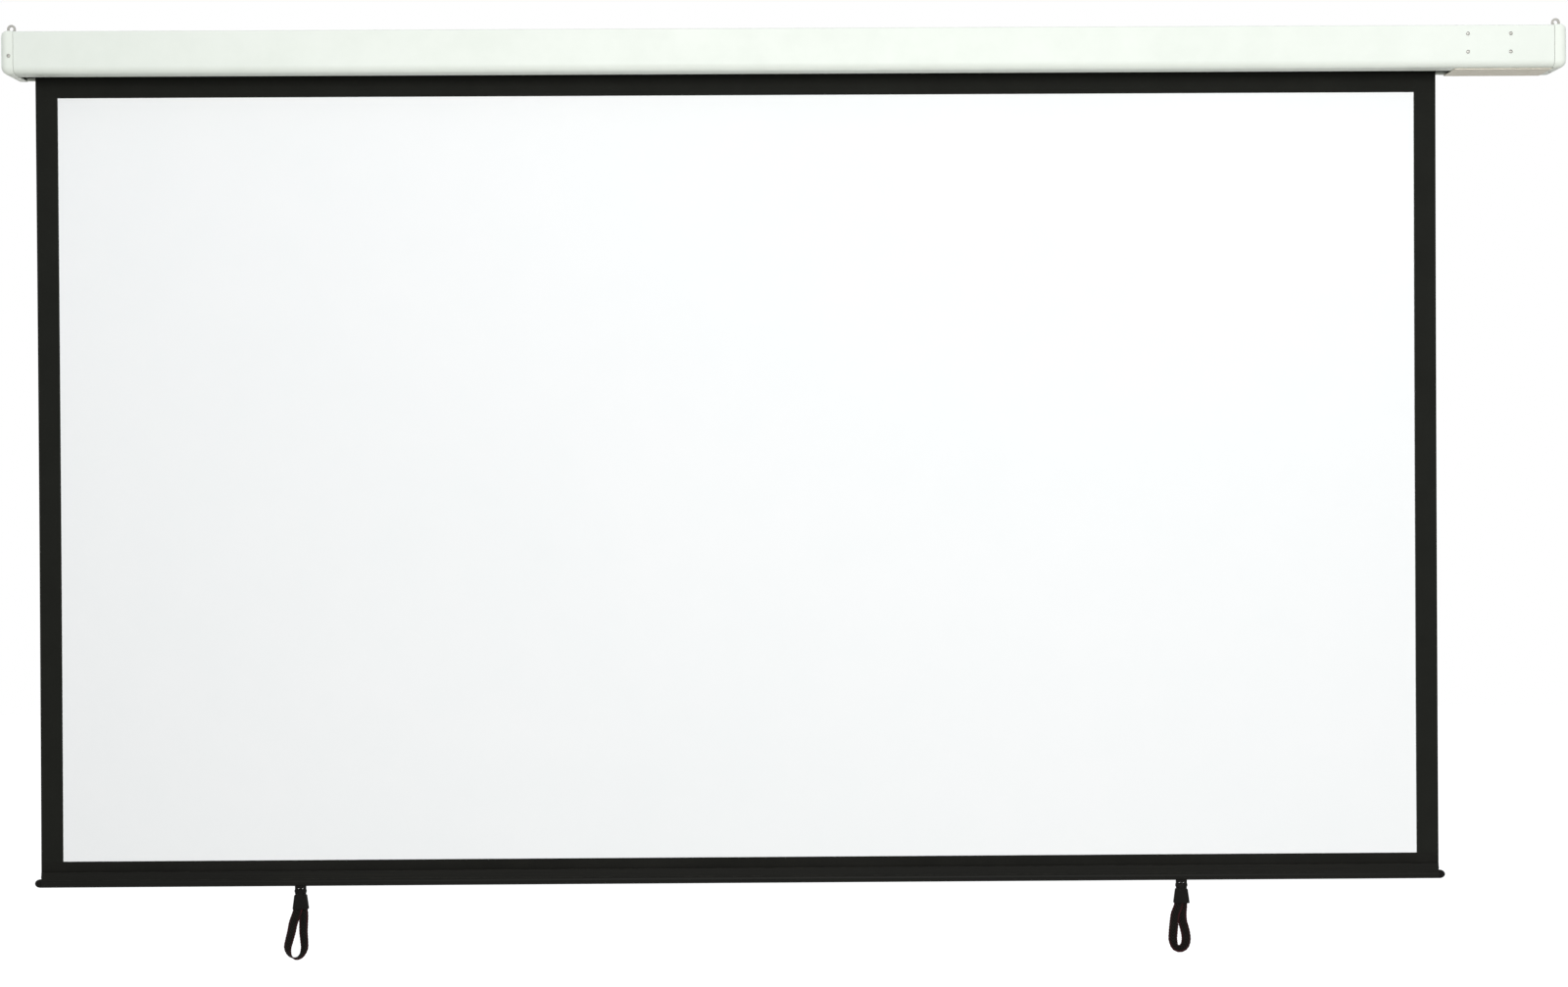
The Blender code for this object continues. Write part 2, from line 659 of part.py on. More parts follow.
def make_idler(steel, nylon):
    """The fixed pin on the left bracket, and the bush and plug that turn on it."""
    outer = CASING_LEFT - CLEAR
    pin = turned("idler_pin", [
        (0.0, 0.0),
        (IDLER_PIN_RADIUS, 0.0),
        (IDLER_PIN_RADIUS, -(LEFT_PLATE_INNER + IDLER_PIN_REACH - outer)),
        (IDLER_PIN_HEAD_RADIUS, -(LEFT_PLATE_INNER + IDLER_PIN_REACH - outer)),
        (IDLER_PIN_HEAD_RADIUS, -(LEFT_PLATE_INNER + IDLER_PIN_REACH - outer + IDLER_PIN_HEAD)),
        (0.0, -(LEFT_PLATE_INNER + IDLER_PIN_REACH - outer + IDLER_PIN_HEAD))],
        (LEFT_PLATE_INNER + IDLER_PIN_REACH, ROLLER_Y, 0.0), (1, 0, 0), SMALL_STEPS)
    flange_left = TUBE_LEFT - CLEAR - PLUG_FLANGE
    plug_length = PLUG_FLANGE + CLEAR + PLUG_DEPTH
    plug = turned("idler_plug", [
        (BUSH_RADIUS + CLEAR, 0.0),
        (PLUG_RADIUS, 0.0),
        (PLUG_RADIUS, PLUG_FLANGE - plug_length),
        (TUBE_RADIUS, PLUG_FLANGE - plug_length),
        (TUBE_RADIUS, -plug_length),
        (BUSH_RADIUS + CLEAR, -plug_length)],
        (flange_left + plug_length, ROLLER_Y, 0.0), (1, 0, 0), closed=True)
    collar_left = LEFT_PLATE_INNER + CLEAR
    bush_right = flange_left + plug_length - CLEAR
    collar = flange_left - CLEAR - collar_left
    bush = turned("idler_bush", [
        (IDLER_PIN_RADIUS + CLEAR, 0.0),
        (BUSH_RADIUS, 0.0),
        (BUSH_RADIUS, -(bush_right - collar_left - collar)),
        (BUSH_COLLAR_RADIUS, -(bush_right - collar_left - collar)),
        (BUSH_COLLAR_RADIUS, -(bush_right - collar_left)),
        (IDLER_PIN_RADIUS + CLEAR, -(bush_right - collar_left))],
        (bush_right, ROLLER_Y, 0.0), (1, 0, 0), SMALL_STEPS, closed=True)
    paint(steel, pin)
    paint(nylon, plug, bush)
    return [plug, bush]


def make_tube(aluminium):
    """The roller tube."""
    length = TUBE_RIGHT - TUBE_LEFT
    tube = turned("roller_tube", [
        (TUBE_BORE_RADIUS, 0.0), (TUBE_RADIUS, 0.0), (TUBE_RADIUS, -length),
        (TUBE_BORE_RADIUS, -length)],
        (TUBE_RIGHT, ROLLER_Y, 0.0), (1, 0, 0), closed=True)
    paint(aluminium, tube)
    return tube


def wrap_point(turn, side):
    """A point of the sheet wound on the tube, turn 0 at the free end; side is -1 or 1."""
    angle = math.tau * turn
    radius = WRAP_OUTER_RADIUS - WRAP_PITCH * turn + side * SHEET_THICKNESS / 2
    return ROLLER_Y + radius * math.cos(angle), radius * math.sin(angle)


def make_wraps(black):
    """The turns of sheet that stay on the tube, as one spiral strip."""
    steps = 24 * WRAP_TURNS
    turns = [WRAP_TURNS * (0.98 * step / steps) for step in range(steps + 1)]
    outline = [wrap_point(turn, 1) for turn in turns]
    outline += [wrap_point(turn, -1) for turn in reversed(turns)]
    wraps = flat_plate("sheet_wraps", [outline], SHEET_WIDTH, (SHEET_MIDDLE, 0, 0),
                       (0, 1, 0), (0, 0, 1))
    paint(black, wraps)
    return wraps


def make_sheet(white):
    """The hanging sheet, from the roller to the lower border."""
    sheet = block("screen_sheet", (SHEET_LEFT, SHEET_Y - SHEET_THICKNESS / 2, PICTURE_BOTTOM),
                  (SHEET_RIGHT, SHEET_Y + SHEET_THICKNESS / 2, -CLEAR))
    paint(white, sheet)


def make_motor(black, steel, nylon):
    """Tubular motor: body, head, crown ring, output shaft and drive wheel."""
    body_right = HEAD_LEFT - CLEAR
    neck_end = -MOTOR_NECK_LENGTH
    body_end = neck_end - MOTOR_LENGTH
    seat_radius = SHAFT_RADIUS + CLEAR
    body = turned("motor_body", [
        (0.0, 0.0), (MOTOR_NECK_RADIUS, 0.0), (MOTOR_NECK_RADIUS, neck_end),
        (MOTOR_RADIUS, neck_end), (MOTOR_RADIUS, body_end),
        (seat_radius, body_end), (seat_radius, body_end + SHAFT_SEAT),
        (0.0, body_end + SHAFT_SEAT)],
        (body_right, ROLLER_Y, 0.0), (1, 0, 0))
    crown_length = CROWN_DEPTH + CLEAR + CROWN_FLANGE
    crown_bore = MOTOR_NECK_RADIUS + CLEAR
    crown = turned("crown_ring", [
        (crown_bore, 0.0), (TUBE_RADIUS, 0.0), (TUBE_RADIUS, -CROWN_FLANGE),
        (PLUG_RADIUS, -CROWN_FLANGE), (PLUG_RADIUS, -crown_length), (crown_bore, -crown_length)],
        (CROWN_RIGHT, ROLLER_Y, 0.0), (1, 0, 0), closed=True)
    head = turned("motor_head", [
        (0.0, 0.0), (HEAD_RADIUS - HEAD_EDGE, 0.0), (HEAD_RADIUS, -HEAD_EDGE),
        (HEAD_RADIUS, HEAD_EDGE - HEAD_LENGTH), (HEAD_RADIUS - HEAD_EDGE, -HEAD_LENGTH),
        (0.0, -HEAD_LENGTH)],
        (HEAD_RIGHT, ROLLER_Y, 0.0), (1, 0, 0), HEAD_STEPS)
    for number, z in enumerate((HEAD_SCREW_SPACING / 2, -HEAD_SCREW_SPACING / 2)):
        cut(head, rod(f"head_screw_hole_{number + 1}", RIVET_RADIUS + CLEAR,
                      (HEAD_RIGHT - 0.008, ROLLER_Y, z), (HEAD_RIGHT + 0.001, ROLLER_Y, z)))
    for number, (x, y, z) in enumerate(limit_screw_places()):
        cut(head, rod(f"limit_screw_hole_{number + 1}", LIMIT_SCREW_RADIUS + CLEAR,
                      (x, y, z + LIMIT_SCREW_LENGTH + CLEAR), (x, y, -HEAD_RADIUS - CLEAR)))
    body_left = body_right + body_end
    shaft_right = body_left + SHAFT_SEAT - CLEAR
    shaft = rod("output_shaft", SHAFT_RADIUS, (shaft_right - SHAFT_LENGTH, ROLLER_Y, 0.0),
                (shaft_right, ROLLER_Y, 0.0))
    wheel = make_drive_wheel(body_left - CLEAR, nylon)
    paint(black, body, head)
    paint(nylon, crown)
    paint(steel, shaft)
    return [crown, shaft, wheel]


def make_drive_wheel(right, nylon):
    """The spoked wheel that carries the shaft's torque to the tube."""
    middle = (right - DRIVE_WHEEL_WIDTH / 2, ROLLER_Y, 0.0)
    holes = [circle((0.0, 0.0), SHAFT_RADIUS + CLEAR)]
    outer = PLUG_RADIUS - DRIVE_WHEEL_RIM
    inner = DRIVE_WHEEL_HUB_RADIUS
    sector = 360 / DRIVE_WHEEL_SPOKES
    for spoke in range(DRIVE_WHEEL_SPOKES):
        start = spoke * sector
        far = math.degrees(math.asin(DRIVE_WHEEL_SPOKE / 2 / outer))
        near = math.degrees(math.asin(DRIVE_WHEEL_SPOKE / 2 / inner))
        window = arc((0.0, 0.0), outer, start + far, start + sector - far, 4)
        window += arc((0.0, 0.0), inner, start + sector - near, start + near, 3)
        holes.append(window)
    wheel = flat_plate("drive_wheel", [circle((0.0, 0.0), PLUG_RADIUS, ROUND_STEPS)] + holes,
                       DRIVE_WHEEL_WIDTH, middle, (0, 1, 0), (0, 0, 1))
    paint(nylon, wheel)
    return wheel


def limit_screw_places():
    """Lower end of each limit screw's axis in the motor head, above the slot."""
    x = HEAD_LEFT + LIMIT_SCREWS_FROM_FACE
    places = []
    for side in (-1, 1):
        offset = LIMIT_SCREWS_BEHIND_AXIS + side * LIMIT_SCREW_SPACING / 2
        skin = math.sqrt(HEAD_RADIUS ** 2 - (abs(offset) + LIMIT_SCREW_RADIUS) ** 2)
        places.append((x, ROLLER_Y + offset, -skin + LIMIT_SCREW_SUNK))
    return places


def make_limit_screws(nylon):
    """Two socket screws that set where the motor stops."""
    for name, (x, y, z) in zip(("upper_limit_screw", "lower_limit_screw"), limit_screw_places()):
        screw = rod(name, LIMIT_SCREW_RADIUS, (x, y, z), (x, y, z + LIMIT_SCREW_LENGTH))
        socket = rod(name + "_socket", HEX_SOCKET / math.sqrt(3), (x, y, z - HEX_DEPTH),
                     (x, y, z + HEX_DEPTH), steps=6)
        cut(screw, socket)
        paint(nylon, screw)
        hang_on(name + "_axis", (x, y, z), screw)


def make_motor_bracket(steel):
    """The bulkhead that carries the motor, with a flange riveted to the casing's front."""
    web_middle = (BULKHEAD_LEFT + BULKHEAD_SHEET / 2, 0, 0)
    holes = [circle((ROLLER_Y, z), RIVET_RADIUS + CLEAR)
             for z in (HEAD_SCREW_SPACING / 2, -HEAD_SCREW_SPACING / 2)]
    holes.append(circle((-LEAD_FROM_WALL, 0.0), LEAD_RADIUS + CLEAR))
    bracket = flat_plate("motor_bracket", [plate_outline()] + holes, BULKHEAD_SHEET, web_middle,
                         (0, 1, 0), (0, 0, 1))
    places = rivet_places()
    right = places[-1][0] + FLANGE_MARGIN
    low = places[1][1] - FLANGE_MARGIN
    high = places[0][1] + FLANGE_MARGIN
    inner_front = FRONT + INNER_EDGE
    flange = block("motor_bracket_flange", (BULKHEAD_LEFT + BULKHEAD_SHEET / 2, inner_front, low),
                   (right, inner_front + BULKHEAD_SHEET, high))
    join(bracket, flange)
    for number, (x, z) in enumerate(places):
        cut(bracket, rod(f"flange_hole_{number + 1}", RIVET_RADIUS + CLEAR,
                         (x, FRONT, z), (x, inner_front + 2 * BULKHEAD_SHEET, z)))
        rivet = turned(
            f"motor_bracket_rivet_{number + 1}",
            dome_profile(RIVET_HEAD_RADIUS, RIVET_HEAD, RIVET_RADIUS,
                         INNER_EDGE + BULKHEAD_SHEET + CLEAR),
            (x, FRONT - CLEAR, z), (0, -1, 0), SMALL_STEPS)
        paint(steel, rivet)
    for name, z in (("upper_motor_screw", HEAD_SCREW_SPACING / 2),
                    ("lower_motor_screw", -HEAD_SCREW_SPACING / 2)):
        screw = turned(name, dome_profile(RIVET_HEAD_RADIUS, RIVET_HEAD, RIVET_RADIUS, 0.009),
                       (BULKHEAD_RIGHT + CLEAR, ROLLER_Y, z), (1, 0, 0), SMALL_STEPS)
        paint(steel, screw)
    paint(steel, bracket)


def make_wiring(grey, black):
    """Wiring box on the casing's back wall, its lid, the motor lead and the grommet."""
    left = BULKHEAD_RIGHT + WIRING_BOX_FROM_BULKHEAD
    right = left + WIRING_BOX_LENGTH
    rear = -INNER_EDGE
    front = rear - WIRING_BOX_DEPTH
    half = WIRING_BOX_HEIGHT / 2
    box = block("wiring_box", (left, front, -half), (right, rear, half))
    hollow = block("wiring_box_hollow",
                   (left + WIRING_BOX_WALL, front - WIRING_BOX_WALL, WIRING_BOX_WALL - half),
                   (right - WIRING_BOX_WALL, rear - WIRING_BOX_WALL, half - WIRING_BOX_WALL))
    entry = rod("wiring_box_entry", LEAD_RADIUS + CLEAR, (left - 0.002, -LEAD_FROM_WALL, 0.0),
                (left + 2 * WIRING_BOX_WALL, -LEAD_FROM_WALL, 0.0))
    cut(box, hollow, entry)
    lid = block("wiring_box_lid", (left, front - CLEAR - WIRING_LID, -half),
                (right, front - CLEAR, half))
    round_edges(lid, WIRING_LID / 3)
    lead = rod("motor_lead", LEAD_RADIUS, (HEAD_RIGHT + CLEAR, -LEAD_FROM_WALL, 0.0),
               (left + WIRING_BOX_WALL, -LEAD_FROM_WALL, 0.0))
    x, y = grommet_place()
    collar = GROMMET_FLANGE + CLEAR
    grommet = turned("cable_grommet", [
        (GROMMET_BORE_RADIUS, collar),
        (GROMMET_FLANGE_RADIUS - HEAD_EDGE / 2, collar),
        (GROMMET_FLANGE_RADIUS, CLEAR + HEAD_EDGE / 2),
        (GROMMET_FLANGE_RADIUS, CLEAR),
        (GROMMET_NECK_RADIUS, CLEAR),
        (GROMMET_NECK_RADIUS, -INNER_EDGE),
        (GROMMET_FLANGE_RADIUS, -INNER_EDGE),
        (GROMMET_FLANGE_RADIUS, -INNER_EDGE - GROMMET_FLANGE),
        (GROMMET_BORE_RADIUS, -INNER_EDGE - GROMMET_FLANGE)],
        (x, y, TOP), (0, 0, 1), SMALL_STEPS, closed=True)
    paint(grey, box, lid)
    paint(black, lead, grommet)


def make_bay_cover(greige):
    """The cover under the motor bay: a plate with two ribs that grip the slot."""
    right = CASING_RIGHT - CLEAR
    top = BOTTOM - CLEAR
    cover = block("motor_bay_cover", (COVER_LEFT, FRONT + CASING_FRONT_RADIUS, top - COVER_THICKNESS),
                  (right, -COVER_REAR_MARGIN, top))
    left = BULKHEAD_RIGHT + CLEAR
    rib_right = right - BRACKET_SHEET - 2 * CLEAR
    sunk = COVER_THICKNESS / 2
    for name, near in (("cover_front_rib", SLOT_FRONT + CLEAR),
                       ("cover_rear_rib", SLOT_REAR - CLEAR - COVER_RIB)):
        join(cover, block(name, (left, near, top - sunk), (rib_right, near + COVER_RIB,
                                                           top + COVER_RIB_HEIGHT)))
    paint(greige, cover)


def bar_outline():
    """Outer outline of the weight bar: a channel for the hem above a round bulb."""
    half = BAR_CHANNEL_WIDTH / 2
    bore = BAR_CHANNEL_BORE_WIDTH / 2
    mouth = BAR_MOUTH / 2
    shoulder = math.degrees(math.acos(half / BAR_BULB_RADIUS))
    outline = [(mouth, BAR_TOP), (half, BAR_TOP)]
    outline += arc((0.0, BULB_Z), BAR_BULB_RADIUS, shoulder, -180 - shoulder, 20)
    outline += [(-half, BAR_TOP), (-mouth, BAR_TOP), (-mouth, BAR_TOP - BAR_LIP),
                (-bore, BAR_TOP - BAR_LIP), (-bore, CHANNEL_FLOOR), (bore, CHANNEL_FLOOR),
                (bore, BAR_TOP - BAR_LIP), (mouth, BAR_TOP - BAR_LIP)]
    return outline


def make_bar(black, rubber):
    """The weight bar with its hem rod, its lower border strip and its two end caps."""
    length = SHEET_WIDTH - 2 * BAR_INSET
    bulb = circle((0.0, BULB_Z), BAR_BULB_BORE_RADIUS)
    bar = flat_plate("weight_bar", [bar_outline(), bulb], length, (SHEET_MIDDLE, SHEET_Y, 0),
                     (0, 1, 0), (0, 0, 1))
    for number, x in enumerate(pull_places()):
        cut(bar, rod(f"seat_rivet_hole_{number + 1}", SEAT_RIVET_RADIUS + CLEAR,
                     (x, SHEET_Y, BAR_BOTTOM - 0.001), (x, SHEET_Y, BULB_Z)))
    rod_half = SHEET_WIDTH / 2 - BAR_INSET
    hem_rod = rod("hem_rod", HEM_ROD_RADIUS, (SHEET_MIDDLE - rod_half, SHEET_Y, HEM_ROD_Z),
                  (SHEET_MIDDLE + rod_half, SHEET_Y, HEM_ROD_Z))
    half = SHEET_THICKNESS / 2
    lean = math.degrees(math.asin(half / HEM_RADIUS))
    outline = [(half, PICTURE_BOTTOM - CLEAR), (-half, PICTURE_BOTTOM - CLEAR)]
    outline += arc((0.0, HEM_ROD_Z), HEM_RADIUS, 90 + lean, 450 - lean, SMALL_STEPS)
    rod_hole = circle((0.0, HEM_ROD_Z), HEM_ROD_RADIUS + CLEAR)
    strip = flat_plate("lower_border_strip", [outline, rod_hole], SHEET_WIDTH,
                       (SHEET_MIDDLE, SHEET_Y, 0), (0, 1, 0), (0, 0, 1))
    pieces = [bar, hem_rod, strip]
    for name, side in (("left_bar_cap", -1), ("right_bar_cap", 1)):
        seat = SHEET_MIDDLE + side * (length / 2 + CLEAR)
        reach = NOSE_REACH + BAR_INSET - CLEAR
        profile = [(0.0, reach)]
        profile += [(BAR_BULB_RADIUS * math.sin(math.radians(angle)),
                     NOSE_FLANGE + (reach - NOSE_FLANGE) * math.cos(math.radians(angle)))
                    for angle in (20, 40, 60, 75)]
        profile += [(BAR_BULB_RADIUS, NOSE_FLANGE), (BAR_BULB_RADIUS, 0.0),
                    (BAR_BULB_BORE_RADIUS - CLEAR, 0.0),
                    (BAR_BULB_BORE_RADIUS - CLEAR, -NOSE_SPIGOT), (0.0, -NOSE_SPIGOT)]
        pieces.append(turned(name, profile, (seat, SHEET_Y, BULB_Z), (side, 0, 0), SMALL_STEPS))
    paint(black, bar)
    paint(rubber, strip, *pieces[3:])
    paint(finish("hem_rod_white", (0.7, 0.7, 0.7), 0.5), hem_rod)
    return pieces


def pull_places():
    """X of the left and the right pull loop."""
    return SHEET_MIDDLE - PULL_FROM_MIDDLE, SHEET_MIDDLE + PULL_FROM_MIDDLE


def make_pull_bracket(side_name, x, black, steel):
    """The bracket under the bar: a seat that fits the bulb, two ears, a rivet and a pin."""
    name = side_name + "_pull_bracket"
    half_width = SEAT_WIDTH / 2
    outline = arc((0.0, PIVOT_Z), EAR_RADIUS, 180, 360, 10)
    outline += [(SEAT_DEPTH / 2, BAR_BOTTOM + SEAT_RISE), (-SEAT_DEPTH / 2, BAR_BOTTOM + SEAT_RISE)]
    hole = circle((0.0, PIVOT_Z), PULL_PIN_RADIUS + CLEAR)
    bracket = flat_plate(name, [outline, hole], SEAT_WIDTH, (x, SHEET_Y, 0), (0, 1, 0), (0, 0, 1))
    seat = rod(name + "_seat", BAR_BULB_RADIUS + CLEAR, (x - half_width - 0.001, SHEET_Y, BULB_Z),
               (x + half_width + 0.001, SHEET_Y, BULB_Z), ROUND_STEPS)
    gap_top = BAR_BOTTOM - SLOT_BELOW_BAR
    gap = block(name + "_gap", (x - EAR_GAP / 2, SHEET_Y - SEAT_DEPTH, PIVOT_Z - 2 * EAR_RADIUS),
                (x + EAR_GAP / 2, SHEET_Y + SEAT_DEPTH, gap_top))
    rivet_hole = rod(name + "_rivet_hole", SEAT_RIVET_RADIUS + CLEAR,
                     (x, SHEET_Y, gap_top - 0.001), (x, SHEET_Y, BAR_BOTTOM + 0.001))
    cut(bracket, seat, gap, rivet_hole)
    wall_top = BULB_Z - math.sqrt(BAR_BULB_BORE_RADIUS ** 2 - SEAT_RIVET_HEAD_RADIUS ** 2)
    shank = wall_top + CLEAR - gap_top + CLEAR
    rivet = turned(side_name + "_pull_rivet", [
        (0.0, shank + SEAT_RIVET_HEAD), (SEAT_RIVET_HEAD_RADIUS, shank + SEAT_RIVET_HEAD),
        (SEAT_RIVET_HEAD_RADIUS, shank), (SEAT_RIVET_RADIUS, shank), (SEAT_RIVET_RADIUS, 0.0),
        (SEAT_RIVET_HEAD_RADIUS, 0.0), (SEAT_RIVET_HEAD_RADIUS, -SEAT_RIVET_HEAD),
        (0.0, -SEAT_RIVET_HEAD)],
        (x, SHEET_Y, gap_top - CLEAR), (0, 0, 1), SMALL_STEPS)
    reach = half_width + CLEAR
    pin = turned(side_name + "_pull_pin", [
        (0.0, reach + PULL_PIN_HEAD), (PULL_PIN_HEAD_RADIUS, reach + PULL_PIN_HEAD),
        (PULL_PIN_HEAD_RADIUS, reach), (PULL_PIN_RADIUS, reach), (PULL_PIN_RADIUS, -reach),
        (PULL_PIN_HEAD_RADIUS, -reach), (PULL_PIN_HEAD_RADIUS, -reach - PULL_PIN_HEAD),
        (0.0, -reach - PULL_PIN_HEAD)],
        (x, SHEET_Y, PIVOT_Z), (1, 0, 0), SMALL_STEPS)
    paint(black, bracket)
    paint(steel, rivet, pin)
    return [bracket, rivet, pin]


def make_pull_clip(side_name, x, black):
    """The clip that gathers the webbing: a tapered sleeve with a tongue on the pin."""
    name = side_name + "_pull_clip"
    place = ((x, SHEET_Y, 0), (1, 0, 0), (0, 0, 1))
    near = CLIP_TOP_WIDTH / 2
    wide = CLIP_MOUTH_WIDTH / 2
    sleeve = [(-near, CLIP_TOP), (-wide, CLIP_BOTTOM), (wide, CLIP_BOTTOM), (near, CLIP_TOP)]
    clip = flat_plate(name, [sleeve], CLIP_DEPTH, *place)
    round_edges(clip, CLIP_EDGE, 3)
    sink = CLIP_TOP - CLIP_EDGE
    outline = arc((0.0, PIVOT_Z), TONGUE_RADIUS, 0, 180, 8)
    outline += [(-TONGUE_RADIUS, sink), (TONGUE_RADIUS, sink)]
    tongue = flat_plate(name + "_tongue", [outline], EAR_GAP - 2 * CLEAR, (x, SHEET_Y, 0),
                        (0, 1, 0), (0, 0, 1))
    join(clip, tongue)
    pin_hole = rod(name + "_pin_hole", PULL_PIN_RADIUS + CLEAR, (x - EAR_GAP, SHEET_Y, PIVOT_Z),
                   (x + EAR_GAP, SHEET_Y, PIVOT_Z))
    taper = (wide - near) / CLIP_HEIGHT
    mouth = wide - CLIP_WALL
    inner = mouth - taper * POCKET_HEIGHT
    hollow = [(-mouth - taper * CLIP_WALL, CLIP_BOTTOM - CLIP_WALL),
              (mouth + taper * CLIP_WALL, CLIP_BOTTOM - CLIP_WALL),
              (inner, CLIP_BOTTOM + POCKET_HEIGHT), (-inner, CLIP_BOTTOM + POCKET_HEIGHT)]
    pocket_depth = 2 * LEG_STACK + WEBBING_THICKNESS + 2 * CLEAR
    pocket = flat_plate(name + "_pocket", [hollow], pocket_depth, *place)
    cut(clip, pin_hole, pocket)
    paint(black, clip)
    return clip


def spline_point(points, place):
    """A point of the smooth line through points, place counted in points from the first."""
    last = len(points) - 1
    index = min(int(place), last - 1)
    share = place - index
    before, here, there, after = (
        Vector(points[min(max(index + step, 0), last)]) for step in (-1, 0, 1, 2))
    start = (there - before) / 2
    end = (after - here) / 2
    run = there - here
    return here + share * start + share ** 2 * (3 * run - 2 * start - end) + share ** 3 * (
        start + end - 2 * run)


def make_webbing(side_name, x, form, black):
    """A webbing loop: one flat strap that hangs down, turns and comes up again."""
    top = Vector((x, SHEET_Y, CLIP_BOTTOM))
    half_width = WEBBING_WIDTH / 2
    half_thick = WEBBING_THICKNESS / 2
    edge = half_thick / 2
    section = [(-half_width, -edge), (edge - half_width, -half_thick),
               (half_width - edge, -half_thick), (half_width, -edge), (half_width, edge),
               (half_width - edge, half_thick), (edge - half_width, half_thick),
               (-half_width, edge)]
    last = len(form) - 1
    line = [(across * MILLIMETRE, LEG_STACK * math.cos(math.pi * number / last),
             -below * MILLIMETRE) for number, (across, below, turned_by) in enumerate(form)]
    turns = [(turned_by, 0.0, 0.0) for across, below, turned_by in form]
    ahead = 0.02
    rings = []
    for step in range(last * LOOP_STEPS + 1):
        place = step / LOOP_STEPS
        here = spline_point(line, place)
        along = spline_point(line, min(place + ahead, last)) - spline_point(
            line, max(place - ahead, 0))
        along.normalize()
        outward = along.cross(Vector((0, 1, 0))).normalized()
        angle = math.radians(spline_point(turns, place)[0])
        wide = outward * math.cos(angle) - Vector((0, 1, 0)) * math.sin(angle)
        wide = (wide - along * wide.dot(along)).normalized()
        thick = along.cross(wide)
        rings.append([top + here + wide * a + thick * b for a, b in section])
    webbing = loft(side_name + "_pull_webbing", rings)
    paint(black, webbing)
    return webbing


def build():
    """Make every piece and put the moving ones on their joint's axis."""
    clear_scene()
    white = finish("powder_coat_white", (0.82, 0.86, 0.80), 0.35)
    moulded = finish("moulded_white", (0.84, 0.87, 0.81), 0.45)
    greige = finish("cover_greige", (0.43, 0.40, 0.35), 0.5)
    steel = finish("zinc_steel", (0.45, 0.45, 0.44), 0.4, 1.0)
    aluminium = finish("mill_aluminium", (0.62, 0.62, 0.62), 0.35, 1.0)
    sheet_white = finish("matte_sheet", (0.93, 0.93, 0.93), 0.9)
    sheet_black = finish("border_black", (0.012, 0.012, 0.011), 0.8)
    bar_black = finish("bar_black", (0.014, 0.014, 0.012), 0.4)
    black_plastic = finish("black_plastic", (0.015, 0.015, 0.015), 0.5)
    webbing = finish("black_webbing", (0.010, 0.010, 0.010), 0.9)
    nylon = finish("nylon", (0.65, 0.64, 0.60), 0.5)
    grey_plastic = finish("grey_plastic", (0.45, 0.46, 0.47), 0.5)

    make_casing(white)
    make_cap("left_end_cap", -1, moulded, steel)
    make_cap("right_end_cap", 1, moulded, steel)
    make_end_bracket("left_end_bracket", -1, steel)
    make_end_bracket("right_end_bracket", 1, steel)
    make_motor_bracket(steel)
    make_wiring(grey_plastic, black_plastic)
    make_bay_cover(greige)
    make_sheet(sheet_white)
    make_limit_screws(nylon)
    turning = make_idler(steel, nylon)
    turning += [make_tube(aluminium), make_wraps(sheet_black)]
    turning += make_motor(black_plastic, steel, nylon)
    hang_on("roller_axis", (SHEET_MIDDLE, ROLLER_Y, 0.0), *turning)
    carried = make_bar(bar_black, black_plastic)
    loops = (("left", pull_places()[0], LEFT_LOOP), ("right", pull_places()[1], RIGHT_LOOP))
    for side_name, x, form in loops:
        carried += make_pull_bracket(side_name, x, black_plastic, steel)
        clip = make_pull_clip(side_name, x, black_plastic)
        strap = make_webbing(side_name, x, form, webbing)
        hang_on(side_name + "_pull_axis", (x, SHEET_Y, PIVOT_Z), clip, strap)
    hang_on("bar_slide", (SHEET_MIDDLE, SHEET_Y, BAR_BOTTOM), *carried)


build()
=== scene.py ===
"""The finished look of a motorized projector screen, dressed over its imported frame.

The sheet comes off a motor-driven roller in a folded steel casing, through a slot under the
casing, down to a weight bar that carries two webbing pull loops.
Sizes are in metres, in the frame's own axes: X to the right, Y to the wall, Z up.
"""

import functools
import logging
import math
from collections.abc import Sequence
from dataclasses import dataclass
from enum import Enum

import bmesh
import bpy
from mathutils import Matrix, Vector

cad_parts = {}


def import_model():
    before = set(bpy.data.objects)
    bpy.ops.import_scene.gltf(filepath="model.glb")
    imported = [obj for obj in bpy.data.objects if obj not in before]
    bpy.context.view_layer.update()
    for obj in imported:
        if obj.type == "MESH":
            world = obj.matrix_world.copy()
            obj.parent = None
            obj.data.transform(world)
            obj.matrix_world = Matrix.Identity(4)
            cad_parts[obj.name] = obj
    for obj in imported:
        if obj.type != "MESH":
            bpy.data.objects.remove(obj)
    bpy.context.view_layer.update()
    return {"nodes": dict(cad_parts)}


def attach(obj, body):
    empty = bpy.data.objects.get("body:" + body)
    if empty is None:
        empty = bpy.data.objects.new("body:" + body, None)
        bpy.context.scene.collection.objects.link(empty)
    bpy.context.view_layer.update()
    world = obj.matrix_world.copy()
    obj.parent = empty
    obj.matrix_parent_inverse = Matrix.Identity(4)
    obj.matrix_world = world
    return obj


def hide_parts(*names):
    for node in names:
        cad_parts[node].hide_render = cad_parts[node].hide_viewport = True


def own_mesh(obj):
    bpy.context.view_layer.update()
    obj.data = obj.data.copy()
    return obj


LOG = logging.getLogger("projector_screen")
WHITE = (1.0, 1.0, 1.0, 1.0)
MILLIMETRE = 0.001
# The space between two pieces that sit on each other
GAP = 0.0003
# How far a cutter reaches past the surface that it cuts
THROUGH = 0.001

